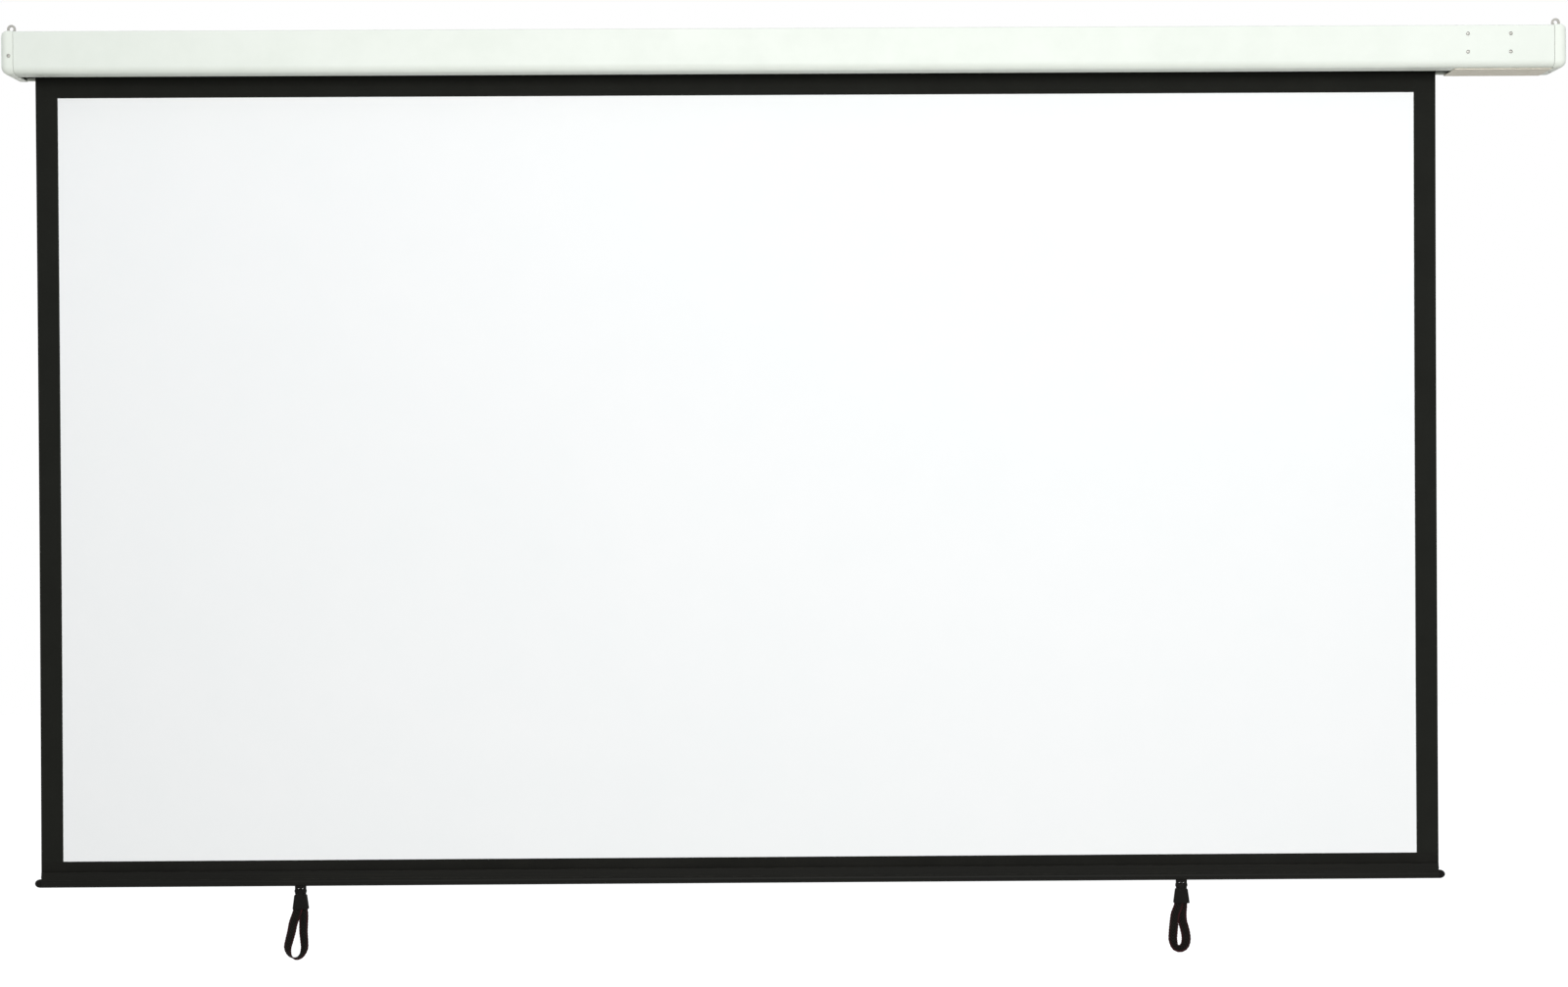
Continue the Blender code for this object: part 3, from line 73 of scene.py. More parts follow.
Pair = tuple[float, float]
Triple = tuple[float, float, float]
Colour = tuple[float, float, float, float]
Shape = bmesh.types.BMesh
Piece = bpy.types.Object
Finish = bpy.types.Material
Socket = bpy.types.NodeSocket
Node = bpy.types.Node
Outputs = bpy.types.NodeOutputs


class Sweep(Enum):
    """The axis that a flat outline is pulled along; its pairs lie on the two other axes."""

    X = "x"
    Y = "y"
    Z = "z"

    def place(self, pair: Pair, height: float) -> Vector:
        """Put one point of an outline in space.

        Args:
            pair: The point on the outline's own two axes.
            height: Its place along the axis of the sweep.

        Returns:
            The point in the frame's axes.
        """
        first, second = pair
        if self is Sweep.X:
            return Vector((height, first, second))
        if self is Sweep.Y:
            return Vector((first, height, second))
        return Vector((first, second, height))


class Side(Enum):
    """The left or the right end of the screen, as a sign along X."""

    LEFT = -1
    RIGHT = 1

    @property
    def word(self) -> str:
        """The side's name in lower case, for the names of pieces."""
        return self.name.lower()


def arc(middle: Pair, radius: float, start: float, end: float, steps: int) -> list[Pair]:
    """Lay points along an arc, both ends included.

    Args:
        middle: The arc's centre.
        radius: Its radius.
        start: The angle of its first point, in degrees.
        end: The angle of its last point, in degrees.
        steps: How many equal steps it is cut into.

    Returns:
        The points, one more than the steps.
    """
    points = []
    for step in range(steps + 1):
        angle = math.radians(start + (end - start) * step / steps)
        points.append((middle[0] + radius * math.cos(angle), middle[1] + radius * math.sin(angle)))
    return points


def circle(middle: Pair, radius: float, steps: int = 32) -> list[Pair]:
    """Points round a full circle."""
    return arc(middle, radius, 0, 360, steps)[:-1]


def dome(radius: float, low: float, high: float, step: int) -> list[Pair]:
    """Lay points down the outer side of a round head, from its top to just above its rim.

    Args:
        radius: The radius of its rim.
        low: The height of its rim.
        high: The height of its top.
        step: The angle between two points, in degrees.

    Returns:
        Radius and height of each point.
    """
    angles = [math.radians(angle) for angle in range(0, 90, step)]
    return [(radius * math.sin(angle), low + (high - low) * math.cos(angle)) for angle in angles]


def casing_outline(front: float, rear: float, top: float, bottom: float, edge: float,
                   front_edge: float) -> list[Pair]:
    """Draw the casing's closed section in Y and Z, with its large lower front rounding.

    Args:
        front: The front face's Y.
        rear: The back face's Y.
        top: The upper face's Z.
        bottom: The lower face's Z.
        edge: The radius of three corners.
        front_edge: The radius of the lower front corner.

    Returns:
        The outline, from the lower rear corner round to the lower front one.
    """
    steps = 6
    outline = arc((rear - edge, bottom + edge), edge, -90, 0, steps)
    outline += arc((rear - edge, top - edge), edge, 0, 90, steps)
    outline += arc((front + edge, top - edge), edge, 90, 180, steps)
    outline += arc((front + front_edge, bottom + front_edge), front_edge, 180, 270, 2 * steps)
    return outline


def ring_of(shape: Shape, points: Sequence[Sequence[float]]) -> list[bmesh.types.BMEdge]:
    """Add a closed ring of edges through points."""
    verts = [shape.verts.new(point) for point in points]
    return [shape.edges.new((verts[index - 1], verts[index])) for index in range(len(verts))]


def pulled(shape: Shape, way: Vector) -> Shape:
    """Pull the faces of an open shape along a way, to a closed solid.

    Args:
        shape: The open shape.
        way: How far and where its faces go.

    Returns:
        The same shape, closed and with its faces outwards.
    """
    grown = bmesh.ops.extrude_face_region(shape, geom=shape.faces[:])["geom"]
    moved = [item for item in grown if isinstance(item, bmesh.types.BMVert)]
    bmesh.ops.translate(shape, verts=moved, vec=way)
    bmesh.ops.recalc_face_normals(shape, faces=shape.faces)
    return shape


def swept(loops: Sequence[Sequence[Pair]], sweep: Sweep, start: float, end: float) -> Shape:
    """Fill a flat outline and pull it along an axis to a closed solid.

    Args:
        loops: The outer loop, then the loops of its holes.
        sweep: The axis it is pulled along.
        start: Where the solid starts on that axis.
        end: Where it ends.

    Returns:
        The closed solid.
    """
    shape = bmesh.new()
    edges = []
    for loop in loops:
        edges += ring_of(shape, [sweep.place(pair, start) for pair in loop])
    bmesh.ops.triangle_fill(shape, use_beauty=True, use_dissolve=True, edges=edges,
                            normal=sweep.place((0.0, 0.0), 1.0))
    return pulled(shape, sweep.place((0.0, 0.0), end - start))


def block(sweep: Sweep, low: Pair, high: Pair, start: float, end: float) -> Shape:
    """A box: the rectangle between two opposite corners, pulled along an axis."""
    return swept([[low, (high[0], low[1]), high, (low[0], high[1])]], sweep, start, end)


def peg(sweep: Sweep, middle: Pair, radius: float, start: float, end: float,
        steps: int = 24) -> Shape:
    """A round peg along an axis."""
    return swept([circle(middle, radius, steps)], sweep, start, end)


def stood(shape: Shape, origin: Sequence[float], direction: Sequence[float]) -> Shape:
    """Stand a solid made about the Z axis on a place, turned to a direction.

    Args:
        shape: The solid, made about the Z axis at the origin.
        origin: Where its origin goes.
        direction: Where its Z axis points.

    Returns:
        The same solid, moved.
    """
    turn = Vector(direction).to_track_quat("Z", "Y").to_matrix().to_4x4()
    bmesh.ops.transform(shape, matrix=Matrix.Translation(origin) @ turn, verts=shape.verts)
    return shape


def turned(profile: Sequence[Pair], steps: int = 40, closed: bool = False) -> Shape:
    """Turn a profile about the Z axis, as on a lathe.

    Args:
        profile: Radius and height of each point down its outer side.
        steps: How many steps the full turn has.
        closed: Whether the profile's ends join, as on a ring.

    Returns:
        The closed solid.
    """
    shape = bmesh.new()
    verts = [shape.verts.new((radius, 0.0, height)) for radius, height in profile]
    edges = [shape.edges.new(pair) for pair in zip(verts, verts[1:])]
    if closed:
        edges.append(shape.edges.new((verts[-1], verts[0])))
    bmesh.ops.spin(shape, geom=verts + edges, cent=(0, 0, 0), axis=(0, 0, 1), angle=math.tau,
                   steps=steps, use_merge=True)
    bmesh.ops.remove_doubles(shape, verts=shape.verts, dist=1e-6)
    bmesh.ops.recalc_face_normals(shape, faces=shape.faces)
    return shape


def two_headed(low: float, high: float, shank: float, head: float, rise: float,
               edge: float) -> Shape:
    """Turn a pin about the Z axis with the same round-edged head at both ends.

    Args:
        low: The height of the lower head's inner face.
        high: The height of the upper head's inner face.
        shank: The shank's radius.
        head: The heads' radius.
        rise: The heads' height.
        edge: The radius of their edges.

    Returns:
        The solid.
    """
    profile = [(0.0, high + rise), *arc((head - edge, high + rise - edge), edge, 90, 0, 4)]
    profile += [(head, high), (shank, high), (shank, low), (head, low)]
    profile += [*arc((head - edge, low - rise + edge), edge, 0, -90, 4), (0.0, low - rise)]
    return turned(profile, 32)


def lofted(rings: Sequence[Sequence[Sequence[float]]]) -> Shape:
    """Bridge rings of points one after the other and close the two ends.

    Args:
        rings: The rings, each with the same number of points.

    Returns:
        The closed solid.
    """
    shape = bmesh.new()
    loops = [ring_of(shape, points) for points in rings]
    for near, far in zip(loops, loops[1:]):
        bmesh.ops.bridge_loops(shape, edges=near + far)
    bmesh.ops.holes_fill(shape, edges=loops[0] + loops[-1], sides=0)
    bmesh.ops.recalc_face_normals(shape, faces=shape.faces)
    return shape


def to_mesh(name: str, shape: Shape) -> bpy.types.Mesh:
    """Make a mesh of a shape, which is used up."""
    mesh = bpy.data.meshes.new(name)
    shape.to_mesh(mesh)
    shape.free()
    return mesh


def put(name: str, data: bpy.types.ID) -> Piece:
    """Put a new object with its data in the scene."""
    thing = bpy.data.objects.new(name, data)
    bpy.context.scene.collection.objects.link(thing)
    return thing


def worked(shape: Shape, tools: Sequence[Shape], operation: str = "DIFFERENCE") -> Shape:
    """Cut tools out of a solid, or join them on to it.

    Args:
        shape: The solid that is worked on.
        tools: The solids that cut it or are joined to it.
        operation: The Boolean modifier's own word for what is done.

    Returns:
        The new solid.
    """
    helpers = [put("tool", to_mesh("tool", tool)) for tool in (shape, *tools)]
    for helper in helpers[1:]:
        step = helpers[0].modifiers.new("step", "BOOLEAN")
        step.operation = operation
        step.solver = "EXACT"
        step.object = helper
    graph = bpy.context.evaluated_depsgraph_get()
    result = bmesh.new()
    result.from_mesh(helpers[0].evaluated_get(graph).to_mesh())
    for helper in helpers:
        mesh = helper.data
        bpy.data.objects.remove(helper)
        bpy.data.meshes.remove(mesh)
    bmesh.ops.remove_doubles(result, verts=result.verts, dist=2e-6)
    return result


def soften(shape: Shape, width: float, segments: int = 2, angle: float = 40.0) -> Shape:
    """Round the sharp edges of a solid.

    Args:
        shape: The solid.
        width: How far the rounding reaches from each edge.
        segments: How many steps it has.
        angle: The smallest angle between two faces, in degrees, that counts as sharp.

    Returns:
        The same solid.
    """
    sharp = [edge for edge in shape.edges
             if edge.is_manifold and edge.calc_face_angle(0.0) > math.radians(angle)]
    bmesh.ops.bevel(shape, geom=sharp, offset=width, offset_type="OFFSET", affect="EDGES",
                    segments=segments, profile=0.5, clamp_overlap=True, material=-1)
    return shape


def fit(name: str, shape: Shape, finishes: Sequence[Finish], body: str, node: str,
        sharp: float = 35.0) -> Piece:
    """Make a finished piece of a solid and put it on its body for the solid that it replaces.

    Args:
        name: The piece's name.
        shape: The solid, which is used up.
        finishes: Its materials, in the order of its faces' material numbers.
        body: The body that carries it.
        node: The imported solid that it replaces.
        sharp: The angle in degrees above which an edge stays sharp.

    Returns:
        The new object, in the scene.
    """
    mesh = to_mesh(name, shape)
    mesh.shade_smooth()
    mesh.set_sharp_from_angle(angle=math.radians(sharp))
    for finish in finishes:
        mesh.materials.append(finish)
    piece = put(name, mesh)
    piece.modifiers.new("shading", "WEIGHTED_NORMAL").keep_sharp = True
    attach(piece, body)
    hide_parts(node)
    LOG.info("%s: %d faces on %s", piece.name, len(mesh.polygons), body)
    return piece


def paint(red: int, green: int, blue: int) -> Colour:
    """Turn a colour as a screen shows it, 0 to 255, into the light that it stands for.

    Args:
        red: The red part.
        green: The green part.
        blue: The blue part.

    Returns:
        The linear colour, with full alpha.
    """
    linear = [part / 255 / 12.92 if part <= 10 else ((part / 255 + 0.055) / 1.055) ** 2.4
              for part in (red, green, blue)]
    return (linear[0], linear[1], linear[2], 1.0)


class Board:
    """A node tree with short ways to add nodes and join them."""

    def __init__(self, tree: bpy.types.NodeTree) -> None:
        """Keep the tree that the nodes go into."""
        self.tree = tree

    def add(self, kind: str, inputs: dict[int | str, object] | None = None,
            **settings: object) -> Node:
        """Add one node.

        Args:
            kind: The node's type.
            inputs: A socket to link from, or a constant, for each named or numbered input.
            settings: The node's own properties.

        Returns:
            The node.
        """
        node = self.tree.nodes.new(kind)
        for name, value in settings.items():
            setattr(node, name, value)
        for key, value in (inputs or {}).items():
            if isinstance(value, bpy.types.NodeSocket):
                self.link(value, node, key)
            else:
                node.inputs[key].default_value = value
        return node

    def link(self, value: Socket, node: Node, key: int | str) -> None:
        """Join a value to a node's input."""
        self.tree.links.new(value, node.inputs[key])

    def sum(self, operation: str, *values: object) -> Socket:
        """The output of one Math node on the values."""
        return self.add("ShaderNodeMath", dict(enumerate(values)), operation=operation).outputs[0]

    def slope(self, value: Socket, rise: float, start: object) -> Socket:
        """A value times a rise, on top of a start."""
        return self.sum("ADD", self.sum("MULTIPLY", value, rise), start)

    def share(self, first: Socket, part: float, second: Socket) -> Socket:
        """A part of the first value and the rest of the second."""
        return self.slope(first, part, self.sum("MULTIPLY", second, 1 - part))

    def noise(self, place: Socket, cell: object, detail: float = 2.0,
              rough: float = 0.5) -> Socket:
        """Cloudy noise, 0 to 1.

        Args:
            place: The coordinates it is read at, in metres.
            cell: How many cells a metre has, as a number or a socket.
            detail: How many finer layers it has.
            rough: How strong the finer layers are.

        Returns:
            The noise.
        """
        return self.add("ShaderNodeTexNoise", {"Vector": place, "Scale": cell, "Detail": detail,
                                               "Roughness": rough}).outputs["Fac"]

    def remap(self, value: Socket, start: float, end: float, low: float = 0.0,
              high: float = 1.0) -> Socket:
        """Stretch a value from one range to another, held at its ends.

        Args:
            value: The value.
            start: Where its range starts.
            end: Where its range ends.
            low: What the start becomes.
            high: What the end becomes.

        Returns:
            The stretched value.
        """
        return self.add("ShaderNodeMapRange", {0: value, 1: start, 2: end, 3: low, 4: high},
                        clamp=True).outputs[0]

    def mix(self, share: object, first: object, second: object) -> Socket:
        """Mix two colours by a share of the second."""
        return self.add("ShaderNodeMix", {0: share, 6: first, 7: second},
                        data_type="RGBA").outputs[2]

    def stretch(self, place: Socket, scale: Triple) -> Socket:
        """Scale coordinates along the three axes."""
        return self.add("ShaderNodeMapping", {"Vector": place, "Scale": scale}).outputs[0]

    def apart(self, place: Socket) -> Outputs:
        """The three axes of some coordinates, by name."""
        return self.add("ShaderNodeSeparateXYZ", {0: place}).outputs

    def bump(self, height: Socket, distance: float) -> Socket:
        """A normal raised by a height of 0 to 1, which stands a distance in metres."""
        return self.add("ShaderNodeBump", {"Height": height, "Distance": distance}).outputs[0]


def open_group(name: str, numbers: dict[str, float],
               outputs: Sequence[str]) -> tuple[Board, Outputs, Node]:
    """Start a shared effect: a Place input, some number inputs and its outputs.

    Args:
        name: The effect's name.
        numbers: Its number inputs and what each is at first.
        outputs: The names of its outputs, all numbers.

    Returns:
        The board to build on, the group's inputs by name and its output node.
    """
    tree = bpy.data.node_groups.new(name, "ShaderNodeTree")
    tree.interface.new_socket(name="Place", in_out="INPUT", socket_type="NodeSocketVector")
    for label, value in numbers.items():
        socket = tree.interface.new_socket(name=label, in_out="INPUT",
                                           socket_type="NodeSocketFloat")
        socket.default_value = value
    for label in outputs:
        tree.interface.new_socket(name=label, in_out="OUTPUT", socket_type="NodeSocketFloat")
    board = Board(tree)
    return board, board.add("NodeGroupInput").outputs, board.add("NodeGroupOutput")


@functools.cache
def fine_grain() -> bpy.types.NodeTree:
    """Build the fine surface texture of paint and moulded plastic, once.

    Returns:
        The group, with a Height and a Speckle.
    """
    board, given, made = open_group("fine_grain", {"Cells": 600.0}, ("Height", "Speckle"))
    coarse = board.noise(given["Place"], given["Cells"], 2.0, 0.45)
    fine_cells = board.sum("MULTIPLY", given["Cells"], 2.7)
    fine = board.noise(given["Place"], fine_cells, 1.0, 0.5)
    board.link(board.share(coarse, 0.7, fine), made, "Height")
    board.link(board.remap(fine, 0.35, 0.75), made, "Speckle")
    return board.tree


@functools.cache
def mottle() -> bpy.types.NodeTree:
    """Build the slow unevenness of a surface, in large clouds and small ones, once.

    Returns:
        The group, with a Clouds and a Patches mask.
    """
    board, given, made = open_group("mottle", {"Clouds per metre": 3.0}, ("Clouds", "Patches"))
    clouds = board.noise(given["Place"], given["Clouds per metre"], 3.0, 0.55)
    many = board.sum("MULTIPLY", given["Clouds per metre"], 9.0)
    patches = board.noise(given["Place"], many, 4.0, 0.6)
    board.link(board.remap(clouds, 0.32, 0.68), made, "Clouds")
    board.link(board.remap(patches, 0.35, 0.70), made, "Patches")
    return board.tree


@functools.cache
def edge_wear() -> bpy.types.NodeTree:
    """Build the mask of edges, broken up by noise, once: rubbed wear on most finishes, a painted
    shadow line along the cover's edges.

    Returns:
        The group, with a Worn mask.
    """
    board, given, made = open_group("edge_wear", {"Width": 0.0006, "Breaks": 120.0}, ("Worn",))
    round_normal = board.add("ShaderNodeBevel", {"Radius": given["Width"]}, samples=4)
    flat_normal = board.add("ShaderNodeNewGeometry").outputs["Normal"]
    along = board.add("ShaderNodeVectorMath", {0: round_normal.outputs[0], 1: flat_normal},
                      operation="DOT_PRODUCT").outputs["Value"]
    edge = board.remap(along, 0.99, 0.85)
    cells = board.noise(given["Place"], given["Breaks"], 4.0, 0.65)
    board.link(board.sum("MULTIPLY", edge, board.remap(cells, 0.42, 0.62)), made, "Worn")
    return board.tree


@functools.cache
def settled_dust() -> bpy.types.NodeTree:
    """Build the mask of dust that lies on what faces up, once.

    Returns:
        The group, with a Dust mask.
    """
    board, given, made = open_group("settled_dust", {"Amount": 0.5}, ("Dust",))
    facing = board.add("ShaderNodeNewGeometry").outputs["Normal"]
    lies = board.remap(board.apart(facing)["Z"], 0.55, 1.0)
    clumps = board.remap(board.noise(given["Place"], 45.0, 5.0, 0.7), 0.3, 0.75)
    dust = board.sum("MULTIPLY", board.sum("MULTIPLY", lies, clumps), given["Amount"])
    board.link(dust, made, "Dust")
    return board.tree


@functools.cache
def drawn_lines() -> bpy.types.NodeTree:
    """Build the long fine lines that a die leaves along a drawn or extruded piece, once.

    Returns:
        The group, with a Height and a Streaks mask.
    """
    board, given, made = open_group("drawn_lines", {"Lines per metre": 1500.0},
                                    ("Height", "Streaks"))
    squeezed = board.stretch(given["Place"], (0.004, 1.0, 1.0))
    lines = board.noise(squeezed, given["Lines per metre"], 3.0, 0.6)
    board.link(lines, made, "Height")
    board.link(board.remap(lines, 0.35, 0.65), made, "Streaks")
    return board.tree


@functools.cache
def herringbone() -> bpy.types.NodeTree:
    """Build the chevron weave of webbing: Place goes across in X and along in Y, once.

    Returns:
        The group, with a Height.
    """
    board, given, made = open_group("herringbone", {"Chevron": 0.0038, "Rib": 0.0013},
                                    ("Height",))
    parts = board.apart(given["Place"])
    zigzag = board.sum("PINGPONG", parts["X"], given["Chevron"])
    slant = board.slope(zigzag, 1.15, parts["Y"])
    turns = board.sum("DIVIDE", slant, given["Rib"])
    wave = board.sum("SINE", board.sum("MULTIPLY", turns, math.tau))
    yarn = board.noise(given["Place"], 2600.0, 2.0, 0.6)
    board.link(board.share(board.remap(wave, -1.0, 1.0), 0.8, yarn), made, "Height")
    return board.tree


class Canvas(Board):
    """The board of one material, with its shader and the coordinates its patterns read."""

    def __init__(self, name: str, specular: float, metallic: float = 0.0) -> None:
        """Start a material with one shader whose steady values stand on its own sockets.

        Args:
            name: The material's name.
            specular: The shader's specular level.
            metallic: How metallic it is.
        """
        self.finish = bpy.data.materials.new(name)
        self.finish.use_nodes = True
        super().__init__(self.finish.node_tree)
        self.shader = self.tree.nodes["Principled BSDF"]
        self.shader.inputs["Specular IOR Level"].default_value = specular
        self.shader.inputs["Metallic"].default_value = metallic
        self.place: Socket | None = None

    def read_object(self) -> None:
        """Read the place on the piece itself, in metres."""
        self.place = self.add("ShaderNodeTexCoord").outputs["Object"]

    def effect(self, tree: bpy.types.NodeTree, numbers: dict[str, float]) -> Outputs:
        """Place a shared effect with its own values.

        Args:
            tree: The effect's node tree.
            numbers: Its number inputs by name.

        Returns:
            Its outputs by name.
        """
        return self.add("ShaderNodeGroup", {"Place": self.place, **numbers},
                        node_tree=tree).outputs

    def done(self, colour: Socket, roughness: Socket, normal: Socket) -> Finish:
        """Link the material's colour, roughness and normal to its shader.

        Args:
            colour: The base colour.
            roughness: The roughness.
            normal: The normal.

        Returns:
            The material.
        """
        self.link(colour, self.shader, "Base Color")
        self.link(roughness, self.shader, "Roughness")
        self.link(normal, self.shader, "Normal")
        return self.finish


@dataclass(frozen=True)
class Coat:
    """A sprayed or moulded coat with a fine skin, slow unevenness, rubbed edges and dust; where
    its worn colour is dark, as on the cover, the edge mask paints a shadow line instead of wear.
    """

    name: str
    colour: Colour
    shade: Colour
    worn: Colour
    dust: float
    roughness: float
    cells: float
    relief: float
    specular: float = 0.5
    clouds: float = 2.2
    edge_wear_and_shade: float = 0.5
    settled: Colour = paint(176, 171, 160)

    def build(self) -> Finish:
        """Build the material.

        Returns:
            The material.
        """
        board = Canvas(self.name, self.specular)
        board.read_object()
        grain = board.effect(fine_grain(), {"Cells": self.cells})
        clouds = board.effect(mottle(), {"Clouds per metre": self.clouds})
        worn = board.effect(edge_wear(), {"Width": 0.0007, "Breaks": 150.0})
        dust = board.effect(settled_dust(), {"Amount": self.dust})["Dust"]
        uneven = board.share(clouds["Clouds"], 0.55, clouds["Patches"])
        # Edge share: rubbed wear on most coats; on the cover, whose worn colour is dark, it paints
        # a shadow line along the edges.
        rubbed = board.sum("MULTIPLY", worn["Worn"], self.edge_wear_and_shade)
        colour = board.mix(uneven, self.colour, self.shade)
        colour = board.mix(rubbed, colour, self.worn)
        colour = board.mix(dust, colour, self.settled)
        rough = board.slope(clouds["Patches"], 0.08, self.roughness - 0.04)
        rough = board.slope(dust, 0.5, rough)
        return board.done(colour, rough, board.bump(grain["Height"], self.relief))


@dataclass(frozen=True)
class Plate:
    """Zinc-plated steel: bright crystals, dull smears and rubbed edges."""

    name: str = "bright_zinc_plate"
    bright: Colour = paint(188, 188, 184)
    dull: Colour = paint(142, 140, 134)
    worn: Colour = paint(212, 212, 208)
    crystals: float = 210.0
    roughness: float = 0.34
    relief: float = 0.00004

    def build(self) -> Finish:
        """Build the material.

        Returns:
            The material.
        """
        board = Canvas(self.name, 0.5, 1.0)
        board.read_object()
        crystal = board.add("ShaderNodeTexVoronoi", {"Vector": board.place,
                                                     "Scale": self.crystals})
        tone = board.add("ShaderNodeSeparateColor", {0: crystal.outputs["Color"]}).outputs[0]
        clouds = board.effect(mottle(), {"Clouds per metre": 14.0})
        lines = board.effect(drawn_lines(), {"Lines per metre": 900.0})
        worn = board.effect(edge_wear(), {"Width": 0.0005, "Breaks": 400.0})
        mixed = board.share(tone, 0.35, clouds["Clouds"])
        colour = board.mix(mixed, self.bright, self.dull)
        colour = board.mix(worn["Worn"], colour, self.worn)
        rough = board.slope(mixed, 0.16, self.roughness - 0.06)
        return board.done(colour, rough, board.bump(lines["Height"], self.relief))


@dataclass(frozen=True)
class Drawn:
    """An extruded or drawn surface, with the die's lines along it."""

    name: str
    colour: Colour
    streak: Colour
    worn: Colour
    roughness: float
    metallic: float
    specular: float = 0.5
    lines: float = 1500.0
    relief: float = 0.00005
    settled: Colour = paint(150, 147, 140)

    def build(self) -> Finish:
        """Build the material.

        Returns:
            The material.
        """
        board = Canvas(self.name, self.specular, self.metallic)
        board.read_object()
        lines = board.effect(drawn_lines(), {"Lines per metre": self.lines})
        clouds = board.effect(mottle(), {"Clouds per metre": 2.6})
        worn = board.effect(edge_wear(), {"Width": 0.0005, "Breaks": 90.0})
        dust = board.effect(settled_dust(), {"Amount": 0.10})
        faded = board.remap(clouds["Clouds"], 0.0, 1.0, 0.45, 1.0)
        streaks = board.sum("MULTIPLY", lines["Streaks"], faded)
        colour = board.mix(streaks, self.colour, self.streak)
        colour = board.mix(worn["Worn"], colour, self.worn)
        colour = board.mix(dust["Dust"], colour, self.settled)
        rough = board.slope(lines["Streaks"], 0.12, self.roughness - 0.06)
        return board.done(colour, rough, board.bump(lines["Height"], self.relief))


@dataclass(frozen=True)
class ProjectionSurface:
    """The matt white picture and its black borders, laid out on the sheet's own UV map."""

    width: float
    length: float
    side_border: float
    top_border: float
    white: Colour = paint(249, 250, 252)
    shade: Colour = paint(246, 248, 250)
    black: Colour = paint(17, 18, 14)
    faded: Colour = paint(28, 29, 25)
    blur: float = 0.00035
    ragged: float = 0.0003
    relief: float = 0.00003

    def picture(self, board: Canvas) -> Socket:
        """Mask the white picture, with a soft and slightly ragged line round it.

        Args:
            board: The material's board, which reads the sheet in metres.

        Returns:
            The mask, 1 on the picture and 0 on the borders.
        """
        parts = board.apart(board.place)
        centred = board.sum("SUBTRACT", board.noise(board.place, 420.0), 0.5)
        ragged = board.sum("MULTIPLY", centred, self.ragged)
        from_left = board.sum("ADD", parts["X"], ragged)
        side = board.sum("MINIMUM", from_left, board.sum("SUBTRACT", self.width, from_left))
        inside = board.remap(side, self.side_border - self.blur, self.side_border + self.blur)
        from_top = board.sum("SUBTRACT", self.length, board.sum("ADD", parts["Y"], ragged))
        below = board.remap(from_top, self.top_border - self.blur, self.top_border + self.blur)
        return board.sum("MULTIPLY", inside, below)

    def build(self) -> Finish:
        """Build the material.

        Returns:
            The material.
        """
        board = Canvas("projection_surface", 0.12)
        laid = board.add("ShaderNodeUVMap").outputs[0]
        board.place = board.stretch(laid, (self.width, self.length, 1.0))
        picture = self.picture(board)
        clouds = board.effect(mottle(), {"Clouds per metre": 1.4})
        grain = board.effect(fine_grain(), {"Cells": 1300.0})
        uneven = board.share(clouds["Clouds"], 0.6, clouds["Patches"])
        worn = board.sum("MULTIPLY", clouds["Patches"], grain["Speckle"])
        colour = board.mix(picture, board.mix(worn, self.black, self.faded),
                           board.mix(uneven, self.white, self.shade))
        rough = board.remap(picture, 0.0, 1.0, 0.72, 0.88)
        return board.done(colour, rough, board.bump(grain["Height"], self.relief))


@dataclass(frozen=True)
class BlackCloth:
    """The black backing of the sheet and its borders: a coated weave with a faint nap."""

    name: str = "black_backing"
    black: Colour = paint(14, 14, 11)
    faded: Colour = paint(26, 26, 22)
    threads: float = 1500.0
    relief: float = 0.00004

    def build(self) -> Finish:
        """Build the material.

        Returns:
            The material.
        """
        board = Canvas(self.name, 0.12)
        board.read_object()
        clouds = board.effect(mottle(), {"Clouds per metre": 3.0})
        grain = board.effect(fine_grain(), {"Cells": self.threads})
        fade = board.sum("MULTIPLY", clouds["Patches"], grain["Speckle"])
        colour = board.mix(fade, self.black, self.faded)
        rough = board.remap(clouds["Clouds"], 0.0, 1.0, 0.68, 0.80)
        return board.done(colour, rough, board.bump(grain["Height"], self.relief))


@dataclass(frozen=True)
class WovenStrap:
    """Black webbing: chevron ribs that follow the strap, with worn, slightly red edges."""

    black: Colour = paint(7, 6, 5)
    rib: Colour = paint(38, 34, 31)
    edge: Colour = paint(68, 29, 34)
    width: float = 0.015
    worn_width: Pair = (0.0034, 0.0012)
    relief: float = 0.0008

    def build(self) -> Finish:
        """Build the material.

        Returns:
            The material.
        """
        board = Canvas("black_strap_weave", 0.08)
        board.place = board.add("ShaderNodeAttribute", attribute_name="cloth").outputs["Vector"]
        weave = board.effect(herringbone(), {"Chevron": 0.0075, "Rib": 0.0048})["Height"]
        clouds = board.effect(mottle(), {"Clouds per metre": 30.0})
        across = board.apart(board.place)["X"]
        from_edge = board.sum("MINIMUM", across, board.sum("SUBTRACT", self.width, across))
        thin = board.remap(clouds["Patches"], 0.0, 1.0, 0.5, 1.0)
        patchy = board.remap(clouds["Clouds"], 0.0, 1.0, 0.1, 0.9)
        worn = board.sum("MULTIPLY", board.remap(from_edge, *self.worn_width), patchy)
        colour = board.mix(board.sum("MULTIPLY", weave, thin), self.black, self.rib)
        colour = board.mix(worn, colour, self.edge)
        rough = board.remap(weave, 0.0, 1.0, 0.86, 0.66)
        return board.done(colour, rough, board.bump(weave, self.relief))


@dataclass(frozen=True)
class Palette:
    """Every finish of the screen, built once and shared by the pieces."""

    casing: Finish
    cap: Finish
    cover: Finish
    zinc: Finish
    dark_zinc: Finish
    aluminium: Finish
    bar: Finish
    motor: Finish
    plastic: Finish
    rubber: Finish
    nylon: Finish
    grey: Finish
    rod: Finish
    surface: Finish
    backing: Finish
    strap: Finish


